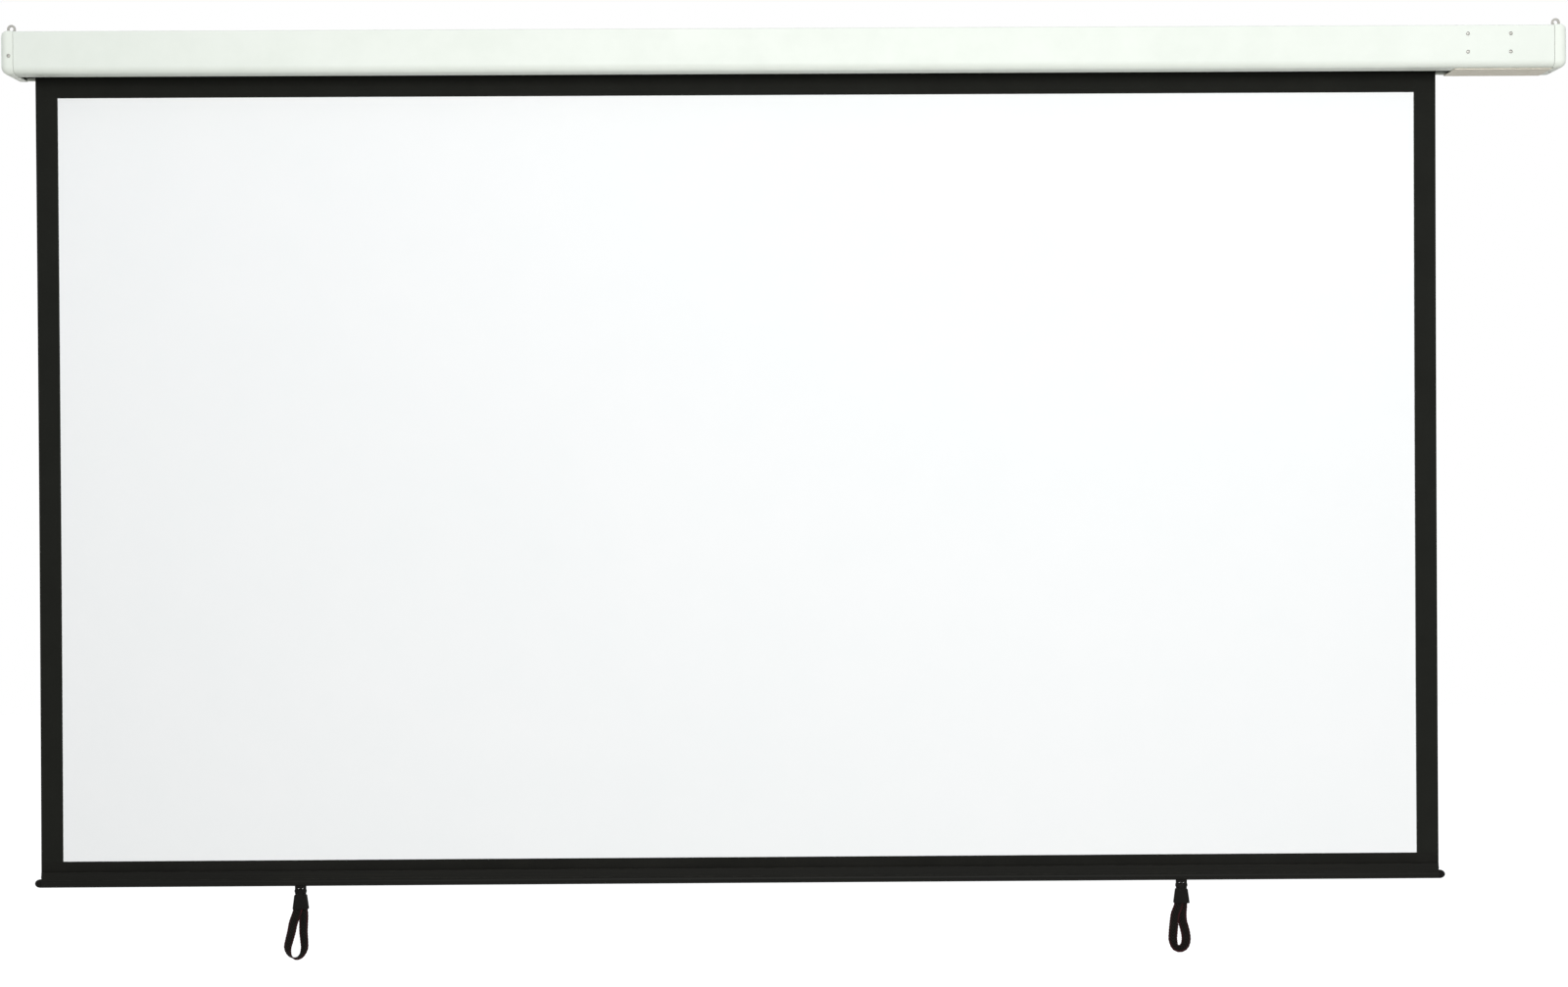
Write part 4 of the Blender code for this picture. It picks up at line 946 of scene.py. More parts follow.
def mix_palette(sheet_width: float, sheet_length: float, side_border: float,
                top_border: float) -> Palette:
    """Build every finish.

    Args:
        sheet_width: The sheet's full width.
        sheet_length: The length of its hanging part.
        side_border: The width of each side border.
        top_border: The width of the top border, from the roller down.

    Returns:
        The finishes.
    """
    return Palette(
        casing=Coat("powder_coat", paint(237, 242, 236), paint(230, 236, 229),
                    paint(198, 200, 190), 0.30, 0.50, 620.0, 0.00006, specular=0.22,
                    edge_wear_and_shade=0.35).build(),
        cap=Coat("moulded_cap_white", paint(239, 244, 237), paint(232, 238, 230),
                 paint(214, 218, 205), 0.28, 0.44, 1500.0, 0.00003, clouds=7.0,
                 edge_wear_and_shade=0.35).build(),
        # The cover's dark worn colour at a high edge share is painted shadow: a dark line along
        # its edges where shade falls.
        cover=Coat("cover_coat_painted_edge_shadow", paint(240, 233, 219), paint(231, 225, 209),
                   paint(92, 88, 72), 0.1, 0.52, 900.0, 0.00005, clouds=5.0,
                   edge_wear_and_shade=0.95).build(),
        zinc=Plate().build(),
        dark_zinc=Plate("black_zinc_plate", paint(58, 58, 55), paint(40, 40, 37),
                        paint(84, 83, 79), roughness=0.44).build(),
        aluminium=Drawn("plain_aluminium", paint(200, 200, 200), paint(172, 172, 172),
                        paint(222, 222, 222), 0.38, 1.0).build(),
        bar=Drawn("black_anodised_bar", paint(15, 15, 13), paint(26, 26, 22),
                  paint(62, 62, 58), 0.50, 0.0, specular=0.09).build(),
        motor=Coat("motor_paint", paint(30, 30, 30), paint(38, 38, 37), paint(96, 96, 94),
                   0.1, 0.42, 900.0, 0.00004, specular=0.4).build(),
        plastic=Coat("moulded_black", paint(14, 13, 12), paint(24, 23, 21), paint(52, 51, 48),
                     0.05, 0.58, 1900.0, 0.00004, specular=0.07, clouds=20.0).build(),
        rubber=Coat("black_rubber_skin", paint(24, 24, 24), paint(33, 33, 32),
                    paint(52, 52, 50), 0.3, 0.72, 1400.0, 0.00003, specular=0.25,
                    clouds=25.0).build(),
        nylon=Coat("natural_nylon", paint(214, 212, 200), paint(204, 201, 188),
                   paint(228, 227, 220), 0.1, 0.46, 1600.0, 0.00002, clouds=20.0).build(),
        grey=Coat("moulded_grey", paint(178, 181, 184), paint(168, 171, 174),
                  paint(200, 202, 204), 0.2, 0.5, 1500.0, 0.00003, clouds=15.0).build(),
        rod=Drawn("hem_rod_fibre", paint(216, 216, 212), paint(200, 199, 194),
                  paint(226, 226, 224), 0.5, 0.0, lines=2600.0).build(),
        surface=ProjectionSurface(sheet_width, sheet_length, side_border, top_border).build(),
        backing=BlackCloth().build(),
        strap=WovenStrap().build(),
    )


@dataclass(frozen=True)
class Fastener:
    """A small screw or rivet about the Z axis, its head up and its seat at height 0."""

    length: float
    head: float = 0.0030
    rise: float = 0.0014
    shank: float = 0.0017
    hole: float = 0.0020
    tip: float = 0.0006

    def cross_screw(self) -> Shape:
        """Make a round-headed screw with a cross recess.

        Returns:
            The solid.
        """
        profile = dome(self.head, 0.0, self.rise, 15)
        profile += [(self.head, 0.0), (self.shank, 0.0), (self.shank, self.tip - self.length),
                    (self.shank - self.tip, -self.length), (0.0, -self.length)]
        arm, half, floor = 0.62 * self.head, 0.14 * self.head, 0.35 * self.rise
        arms = [block(Sweep.Z, (-a, -b), (a, b), floor, 2 * self.rise)
                for a, b in ((arm, half), (half, arm))]
        return worked(turned(profile), [worked(arms[0], arms[1:], "UNION")])

    def blind_rivet(self) -> Shape:
        """Make a blind rivet with the dimple of its broken pin.

        Returns:
            The solid.
        """
        shares = ((0.0, 0.45), (0.24, 0.45), (0.30, 0.90), (0.40, 1.0), (0.60, 0.95),
                  (0.78, 0.76), (0.92, 0.44), (1.0, 0.12), (1.0, 0.0))
        profile = [(out * self.head, up * self.rise) for out, up in shares]
        profile += [(self.shank, 0.0), (self.shank, -self.length), (0.0, -self.length)]
        return turned(profile)


CAP_SCREW = Fastener(0.008)
BAY_RIVET = Fastener(0.0038)


@dataclass
class Casing:
    """The folded steel casing, open along its slot, with both lips turned up inside."""

    half_length: float = 1.23825
    height: float = 0.068
    depth: float = 0.078
    wall: float = 0.0012
    edge: float = 0.003
    front_edge: float = 0.012
    slot_front: float = -0.042
    slot_rear: float = -0.008
    lip: float = 0.004
    outlet_radius: float = 0.0068

    @property
    def top(self) -> float:
        """The upper face's height above the middle."""
        return self.height / 2

    def outline(self, inset: float) -> list[Pair]:
        """The section's outline, drawn in from the outer face."""
        return casing_outline(inset - self.depth, -inset, self.top - inset, inset - self.top,
                              self.edge - inset, self.front_edge - inset)

    def section(self) -> list[Pair]:
        """Draw the closed section of the folded sheet.

        Returns:
            The outer skin from the rear lip to the front one, and the inner skin back.
        """
        low = -self.top
        fold = self.wall
        outer = [(self.slot_rear, low + self.lip)]
        outer += arc((self.slot_rear + fold, low + fold), fold, 180, 270, 4)
        outer += self.outline(0.0)
        outer += arc((self.slot_front - fold, low + fold), fold, 270, 360, 4)
        outer.append((self.slot_front, low + self.lip))
        inner = [(self.slot_rear + fold, low + self.lip), (self.slot_rear + fold, low + fold)]
        inner += self.outline(self.wall)
        inner += [(self.slot_front - fold, low + fold), (self.slot_front - fold, low + self.lip)]
        return outer + inner[::-1]

    def build(self, palette: Palette, rivets: Sequence[Pair], outlet: Pair) -> None:
        """Make the casing with its rivet holes and cable hole.

        Args:
            palette: The finishes.
            rivets: X and Z of each rivet in the front.
            outlet: X and Y of the cable grommet in the top.
        """
        shape = swept([self.section()], Sweep.X, -self.half_length, self.half_length)
        deep = 2 * self.wall
        tools = [peg(Sweep.Y, place, BAY_RIVET.hole, -self.depth - THROUGH, deep - self.depth)
                 for place in rivets]
        tools.append(peg(Sweep.Z, outlet, self.outlet_radius, self.top - deep,
                         self.top + THROUGH, 36))
        fit("casing_profile", worked(shape, tools), [palette.casing], "housing",
            "casing")


@dataclass
class EndCap:
    """A moulded cap over one end of the casing, with a notch for the lug and one screw."""

    side: Side
    casing: Casing
    length: float = 0.022
    proud: float = 0.001
    wall: float = 0.002
    fillet: float = 0.013
    steps: int = 14
    rim: float = 0.0004
    smallest_edge: float = 0.0006
    notch_front: float = -0.0573
    notch_rear: float = -0.0547
    notch_end: float = 1.25455
    screw_in: float = 0.007
    left_screw_z: float = -0.0057
    right_screw_y: float = 0.044

    def ring(self, x: float, inset: float, wall: float) -> list[Triple]:
        """Draw one ring of the cap.

        Args:
            x: Where it stands.
            inset: How far it is drawn in from the cap's full outline.
            wall: The wall's thickness for the inner skin, or 0.

        Returns:
            The ring's points.
        """
        box = self.casing
        grow = self.proud - inset - wall
        outline = casing_outline(-box.depth - grow, -inset - wall, box.top + grow,
                                 -box.top - grow, max(box.edge + grow, self.smallest_edge),
                                 max(box.front_edge + grow, self.smallest_edge))
        return [(x, y, z) for y, z in outline]

    def skin(self, wall: float) -> list[list[Triple]]:
        """Draw the rings of one skin, from the rim to the end face.

        Args:
            wall: The wall's thickness for the inner skin, or 0.

        Returns:
            The rings.
        """
        sign = self.side.value
        start = sign * (self.casing.half_length + GAP)
        end = self.length - GAP - wall
        radius = self.fillet - wall
        rings = [self.ring(start + sign * self.rim, 0.0, wall)]
        if not wall:
            rings.insert(0, self.ring(start, self.rim, wall))
        for step in range(self.steps + 1):
            angle = math.pi / 2 * step / self.steps
            along = end - radius + radius * math.sin(angle)
            rings.append(self.ring(start + sign * along, radius * (1 - math.cos(angle)), wall))
        return rings

    def screw_seat(self) -> tuple[Vector, Vector]:
        """Find where the screw sits on the cap.

        Returns:
            The seat, and the direction into the cap.
        """
        box = self.casing
        x = self.side.value * (box.half_length + self.screw_in)
        if self.side is Side.LEFT:
            return Vector((x, -box.depth - self.proud, self.left_screw_z)), Vector((0, 1, 0))
        under = -box.top - self.proud
        return Vector((x, self.right_screw_y - box.depth, under)), Vector((0, 0, 1))

    def build(self, palette: Palette) -> None:
        """Make the cap and its cross-head screw.

        Args:
            palette: The finishes.
        """
        word = self.side.word
        sign = self.side.value
        shape = lofted(self.skin(self.wall)[::-1] + self.skin(0.0))
        left, right = sorted((sign * self.casing.half_length, sign * self.notch_end))
        notch = block(Sweep.Z, (left, self.notch_front), (right, self.notch_rear), 0.0,
                      self.casing.top + 10 * THROUGH)
        place, inward = self.screw_seat()
        hole = stood(peg(Sweep.Z, (0, 0), CAP_SCREW.hole, -self.wall, 2 * self.wall), place,
                     inward)
        fit(word + "_cap_moulding", worked(shape, [notch, hole]), [palette.cap], "housing",
            word + "_end_cap")
        screw = stood(CAP_SCREW.cross_screw(), place - inward * GAP, -inward)
        fit(word + "_cap_cross_screw", screw, [palette.zinc], "housing",
            word + "_cap_screw")


@dataclass
class EndBracket:
    """The folded steel end bracket: a plate across the casing, a lug with an eye, a tab."""

    side: Side
    casing: Casing
    cap: EndCap
    sheet: float = 0.002
    edge: float = 0.0002
    pin_place: Pair = (-0.03855, 0.0)
    pin_hole: float = 0.0043
    lug_y: float = -0.056
    lug_near: float = 1.24025
    lug_far: float = 1.25425
    joggle: float = 0.0005
    root_drop: float = 0.030
    eye_z: float = 0.041
    eye_radius: float = 0.0032
    foot: float = 0.0356
    lap: float = 0.0367
    tab_reach: float = 0.0115
    tab_half: float = 0.007

    @property
    def fold(self) -> float:
        """X of the middle of the plate's sheet, where the lug and the tab are joined to it."""
        return self.side.value * (self.casing.half_length - self.sheet / 2)

    def plate(self) -> Shape:
        """Make the plate across the casing; the left one has the idler pin's hole.

        Returns:
            The solid.
        """
        box = self.casing
        sign = self.side.value
        inner = box.wall + GAP
        outline = casing_outline(inner - box.depth, -inner, box.top - inner,
                                 box.lip + GAP - box.top, box.edge, box.front_edge - inner)
        holes = [circle(self.pin_place, self.pin_hole)] if self.side is Side.LEFT else []
        outer = sign * box.half_length
        return swept([outline, *holes], Sweep.X, outer, outer - sign * self.sheet)

    def lug(self) -> list[Shape]:
        """Make the lug's root beside the plate and its ear, which stands a little to the front.

        Returns:
            The root and the ear.
        """
        box = self.casing
        sign = self.side.value
        half = self.sheet / 2
        near, far = sign * self.lug_near, sign * self.lug_far
        low, high = box.top - self.root_drop, box.top - box.edge
        root = swept([[(self.fold, high), (self.fold, low), (far, low), (far, self.lap),
                       (near, self.lap), (near, high)]],
                     Sweep.Y, self.lug_y - half, self.lug_y + half)
        eye = ((near + far) / 2, self.eye_z)
        reach = (self.lug_far - self.lug_near) / 2
        outline = [(far, self.foot), *arc(eye, reach, 90 - sign * 90, 90 + sign * 90, 24),
                   (near, self.foot)]
        ear_y = self.lug_y - self.joggle
        ear = swept([outline, circle(eye, self.eye_radius)], Sweep.Y, ear_y - half, ear_y + half)
        return [root, ear]

    def tab(self, place: Vector) -> Shape:
        """Make the tab that takes the cap's screw.

        Args:
            place: Where the screw sits.

        Returns:
            The solid.
        """
        box = self.casing
        end = self.side.value * (box.half_length + self.tab_reach)
        if self.side is Side.LEFT:
            front = box.wall + 2 * GAP - box.depth
            return block(Sweep.Z, (end, front), (self.fold, front + self.sheet),
                         place.z - self.tab_half, place.z + self.tab_half)
        floor = box.lip + GAP - box.top
        return block(Sweep.Z, (self.fold, place.y - self.tab_half),
                     (end, place.y + self.tab_half), floor, floor + self.sheet)

    def build(self, palette: Palette) -> None:
        """Make the bracket in one piece, with the hole for the cap's screw.

        Args:
            palette: The finishes.
        """
        word = self.side.word
        place, inward = self.cap.screw_seat()
        shape = worked(self.plate(), [*self.lug(), self.tab(place)], "UNION")
        deep = 2 * self.tab_half
        hole = stood(peg(Sweep.Z, (0, 0), CAP_SCREW.hole, 0.0, deep), place, inward)
        fit(word + "_bracket_plate", soften(worked(shape, [hole]), self.edge, 1, 60),
            [palette.zinc], "housing", word + "_end_bracket")


@dataclass
class MotorBay:
    """What shows of the motor bay: four rivets, the cable grommet and the cover below."""

    casing: Casing
    rivet_x: Pair = (1.09875, 1.16775)
    rivet_z: Pair = (0.0195, -0.0095)
    outlet: Pair = (1.20425, -0.019)
    flange: float = 0.0090
    neck: float = 0.0065
    bore: float = 0.0042
    rubber: float = 0.0016
    cover_left: float = 1.08075
    cover_rear: float = -0.002
    cover_wall: float = 0.0015
    cover_edge: float = 0.0003
    rib_left: float = 1.08925
    rib_stop: float = 0.002
    rib_wall: float = 0.0012
    rib_height: float = 0.009

    def rivet_places(self) -> list[Pair]:
        """X and Z of the rivets, the left pair first."""
        return [(x, z) for x in self.rivet_x for z in self.rivet_z]

    def build(self, palette: Palette) -> None:
        """Make the rivets, the grommet and the cover.

        Args:
            palette: The finishes.
        """
        for number, (x, z) in enumerate(self.rivet_places(), 1):
            rivet = stood(BAY_RIVET.blind_rivet(), (x, -self.casing.depth - GAP, z), (0, -1, 0))
            fit(f"bay_blind_rivet_{number}", rivet, [palette.zinc], "housing",
                f"motor_bracket_rivet_{number}")
        fit("outlet_grommet", self.grommet(), [palette.rubber], "housing",
            "cable_grommet")
        fit("bay_cover_plate", self.cover(), [palette.cover], "housing",
            "motor_bay_cover")

    def grommet(self) -> Shape:
        """Turn the rubber ring that lines the cable hole.

        Returns:
            The solid.
        """
        inner = self.casing.wall + GAP
        top, low = self.rubber + GAP, -inner - self.rubber
        chamfer, edge, lower_chamfer, lower_edge = 0.0004, 0.0008, 0.0006, 0.0009
        profile = [(self.bore, top - chamfer), (self.bore + chamfer, top)]
        profile += arc((self.flange - edge, top - edge), edge, 90, 0, 5)
        profile += [(self.flange, GAP), (self.neck, GAP), (self.neck, -inner),
                    (self.flange, -inner), (self.flange, -inner - lower_edge),
                    (self.flange - lower_chamfer, low), (self.bore, low)]
        return stood(turned(profile, closed=True), (*self.outlet, self.casing.top), (0, 0, 1))

    def cover(self) -> Shape:
        """Make the plate under the bay with its two gripping ribs.

        Returns:
            The solid.
        """
        box = self.casing
        right = box.half_length - GAP
        top = -box.top - GAP
        plate = block(Sweep.Z, (self.cover_left, box.front_edge - box.depth),
                      (right, self.cover_rear), top - self.cover_wall, top)
        ribs = [block(Sweep.Z, (self.rib_left + GAP, near),
                      (right - self.rib_stop - 2 * GAP, near + self.rib_wall),
                      top - self.cover_wall / 2, top + self.rib_height)
                for near in (box.slot_front + GAP, box.slot_rear - GAP - self.rib_wall)]
        return soften(worked(plate, ribs, "UNION"), self.cover_edge, 2, 60)


@dataclass(frozen=True)
class Ripple:
    """One slow ripple of the hanging sheet: its share, cycles over the sheet and phase."""

    share: float
    over_width: float
    over_length: float
    phase: float = 0.0

    def lift(self, across: float, up: float) -> float:
        """How much it lifts the sheet at a share of its width and of its length."""
        turn = self.over_width * across + self.over_length * up + self.phase
        return self.share * math.sin(math.tau * turn)


@dataclass
class Sheet:
    """The projection sheet: its hanging part, its turns on the roller and its lower hem."""

    left: float = -1.22225
    right: float = 1.06375
    plane: float = -0.016
    top: float = -0.0003
    bottom: float = -1.309
    thickness: float = 0.0005
    side_border: float = 0.036
    picture_top: float = -0.064
    columns: int = 104
    rows: int = 60
    wave: float = 0.0012
    ease: float = 0.8
    stand: float = 0.95
    ripples: tuple[Ripple, ...] = (Ripple(0.5, 1.15, 0.12, 0.18), Ripple(0.25, 2.7, -0.35, 0.61),
                                   Ripple(0.2, 0.4, 0.8))
    curl_width: float = 0.05
    travel: float = 1.2905
    wound_turns: float = 2.94
    wound_steps: int = 144
    pitch: float = 0.001
    wound_radius: float = 0.02255
    roller_y: float = -0.03855
    hem_z: float = -1.3336
    hem_radius: float = 0.0026
    hem_gap: float = 0.00005
    rod_bore: float = 0.0021

    @property
    def width(self) -> float:
        """The sheet's full width, borders included."""
        return self.right - self.left

    @property
    def length(self) -> float:
        """The length of its hanging part."""
        return self.top - self.bottom

    def fall(self, across: float, up: float) -> Vector:
        """Find a point of the hanging sheet, which stands a little uneven towards the wall.

        Args:
            across: The share of its width, from the left.
            up: The share of its length, from the bottom.

        Returns:
            The point on the sheet's middle.
        """
        free = math.sin(math.pi * up) ** self.ease if 0.0 < up < 1.0 else 0.0
        rim = min(across, 1.0 - across) * self.width / self.curl_width
        uneven = sum(ripple.lift(across, up) for ripple in self.ripples)
        lift = self.wave * free * (self.stand + uneven + math.exp(-rim * rim))
        return Vector((self.left + across * self.width, self.plane + lift,
                       self.bottom + up * self.length))

    def build(self, palette: Palette) -> None:
        """Make the three pieces of the sheet.

        Args:
            palette: The finishes.
        """
        hanging = fit("hanging_sheet", self.hanging(), [palette.surface, palette.backing],
                      "housing", "screen_sheet")
        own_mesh(hanging)
        wound = fit("wound_sheet", self.wound(), [palette.backing], "roller",
                    "sheet_wraps")
        hem = fit("lower_border_hem", self.hem(), [palette.backing], "bar",
                  "lower_border_strip")

    def hanging(self) -> Shape:
        """Spread the hanging part as a fine grid with a real thickness.

        Returns:
            The closed sheet, its picture side first.
        """
        shape = bmesh.new()
        shape.loops.layers.uv.new("UVMap")
        bmesh.ops.create_grid(shape, x_segments=self.columns, y_segments=self.rows, size=0.5,
                              calc_uvs=True)
        front = Vector((0, -self.thickness / 2, 0))
        for vert in shape.verts:
            vert.co = self.fall(vert.co.x + 0.5, vert.co.y + 0.5) + front
        pulled(shape, Vector((0, self.thickness, 0)))
        for face in shape.faces:
            face.material_index = 0 if face.normal.y < -0.5 else 1
        return shape

    def wound_point(self, turn: float, side: int) -> Pair:
        """Find a point of the wound turns.

        Args:
            turn: Turns in from the free end.
            side: 1 for the outer face, -1 for the inner one.

        Returns:
            Its Y and Z.
        """
        angle = math.tau * turn
        radius = self.wound_radius - self.pitch * turn + side * self.thickness / 2
        return self.roller_y + radius * math.cos(angle), radius * math.sin(angle)

    def wound(self) -> Shape:
        """Sweep the spiral of the turns along the roller.

        Returns:
            The closed sheet.
        """
        steps = self.wound_steps
        turns = [self.wound_turns * step / steps for step in range(steps + 1)]
        outline = [self.wound_point(turn, 1) for turn in turns]
        outline += [self.wound_point(turn, -1) for turn in reversed(turns)]
        return swept([outline], Sweep.X, self.left, self.right)

    def hem(self) -> Shape:
        """Sweep the lower border with its pocket round the hem rod.

        Returns:
            The closed sheet.
        """
        half = self.thickness / 2
        lean = math.degrees(math.asin(half / self.hem_radius))
        top = self.bottom - self.hem_gap
        outline = [(self.plane + half, top), (self.plane - half, top)]
        outline += arc((self.plane, self.hem_z), self.hem_radius, 90 + lean, 450 - lean, 36)
        bore = circle((self.plane, self.hem_z), self.rod_bore)
        return swept([outline, bore], Sweep.X, self.left, self.right)


@dataclass
class WeightBar:
    """The extruded weight bar: a channel for the hem over a round bulb, capped at both ends."""

    plane: float = -0.016
    left: float = -1.22125
    right: float = 1.06275
    top: float = -1.3265
    bottom: float = -1.3515
    bulb: float = 0.007
    bulb_bore: float = 0.0056
    channel: float = 0.009
    channel_bore: float = 0.0066
    channel_depth: float = 0.0088
    lip: float = 0.0012
    mouth: float = 0.002
    edge: float = 0.0005
    nose: float = 0.0112
    nose_edge: float = 0.0003
    flange: float = 0.002
    spigot: float = 0.010
    spigot_edge: float = 0.001
    rivet_hole: float = 0.0018
    pull_spread: float = 0.7205

    @property
    def bulb_z(self) -> float:
        """The height of the bulb's middle."""
        return self.bottom + self.bulb

    def pull_x(self, side: Side) -> float:
        """X of the pull loop on a side."""
        return (self.left + self.right) / 2 + side.value * self.pull_spread

    def section(self) -> list[Pair]:
        """Draw the bar's outer outline and its open channel.

        Returns:
            The outline in Y and Z.
        """
        half = self.channel / 2
        bore = self.channel_bore / 2
        mouth = self.mouth / 2
        edge = self.edge
        roof = self.top - self.lip
        floor = roof - self.channel_depth
        shoulder = math.degrees(math.acos(half / self.bulb))
        outline = [(mouth, self.top)]
        outline += arc((half - edge, self.top - edge), edge, 90, 0, 3)
        outline += arc((0.0, self.bulb_z), self.bulb, shoulder, -180 - shoulder, 40)
        outline += arc((edge - half, self.top - edge), edge, 180, 90, 3)
        outline += [(-mouth, self.top), (-mouth, roof), (-bore, roof), (-bore, floor),
                    (bore, floor), (bore, roof), (mouth, roof)]
        return [(self.plane + y, z) for y, z in outline]

    def nose_profile(self) -> list[Pair]:
        """Draw an end cap's profile: the rounded nose, its flange and its spigot.

        Returns:
            Radius and height of each point, with the bar's end at height 0.
        """
        bore = self.bulb_bore - GAP
        profile = dome(self.bulb, self.flange, self.nose, 9)
        profile += [(self.bulb, self.flange), (self.bulb, self.nose_edge),
                    (self.bulb - self.nose_edge, 0.0), (bore, 0.0),
                    (bore, self.spigot_edge - self.spigot),
                    (bore - self.spigot_edge, -self.spigot), (0.0, -self.spigot)]
        return profile

    def build(self, palette: Palette) -> None:
        """Make the bar, with a rivet hole for each pull loop, and its two end caps.

        Args:
            palette: The finishes.
        """
        hollow = circle((self.plane, self.bulb_z), self.bulb_bore, 40)
        shape = swept([self.section(), hollow], Sweep.X, self.left, self.right)
        holes = [peg(Sweep.Z, (self.pull_x(side), self.plane), self.rivet_hole,
                     self.bottom - THROUGH, self.bulb_z) for side in Side]
        fit("bar_extrusion", worked(shape, holes), [palette.bar], "bar",
            "weight_bar")
        for side in Side:
            end = self.left - GAP if side is Side.LEFT else self.right + GAP
            nose = stood(turned(self.nose_profile()), (end, self.plane, self.bulb_z),
                         (side.value, 0, 0))
            fit(side.word + "_bar_nose", nose, [palette.plastic], "bar",
                side.word + "_bar_cap")


# Points of each loop: millimetres across and below its clip's mouth, and its turn in degrees
LOOPS = {
    Side.LEFT: (
        (2.0, -12.5, 0), (2.4, -5.0, 0), (4.4, 8.0, 0), (4.2, 22.0, 5), (3.9, 37.0, 12),
        (5.0, 52.0, 20), (5.2, 64.0, 30), (0.3, 75.6, 58), (-8.8, 80.6, 90), (-18.0, 75.6, 122),
        (-21.7, 64.0, 150), (-19.3, 52.0, 160), (-15.3, 37.0, 168), (-12.0, 22.0, 175),
        (-6.8, 8.0, 180), (-3.2, -5.0, 180), (-2.4, -12.5, 180)),
    Side.RIGHT: (
        (2.0, -12.5, 0), (2.4, -5.0, 0), (2.2, 6.0, 0), (1.2, 18.0, 10), (2.0, 30.0, 16),
        (4.6, 40.0, 12), (6.8, 50.0, 8), (7.6, 60.0, 12), (4.8, 70.0, 36), (-2.8, 75.0, 54),
        (-10.6, 71.0, 36), (-14.2, 60.0, 10), (-14.0, 50.0, 2), (-13.2, 40.0, 0),
        (-12.2, 30.0, 0), (-10.4, 18.0, 0), (-6.0, 6.0, 0), (-3.2, -5.0, 0), (-2.4, -12.5, 0)),
}


def smooth_point(points: Sequence[Sequence[float]], place: float) -> Vector:
    """Find a point of the smooth line through some points.

    Args:
        points: The points the line passes through.
        place: Where on it, counted in points from the first.

    Returns:
        The point.
    """
    last = len(points) - 1
    index = min(int(place), last - 1)
    share = place - index
    before, here, there, after = (
        Vector(points[min(max(index + step, 0), last)]) for step in (-1, 0, 1, 2))
    start = (there - before) / 2
    end = (after - here) / 2
    run = there - here
    return here + share * start + share ** 2 * (3 * run - 2 * start - end) + share ** 3 * (
        start + end - 2 * run)


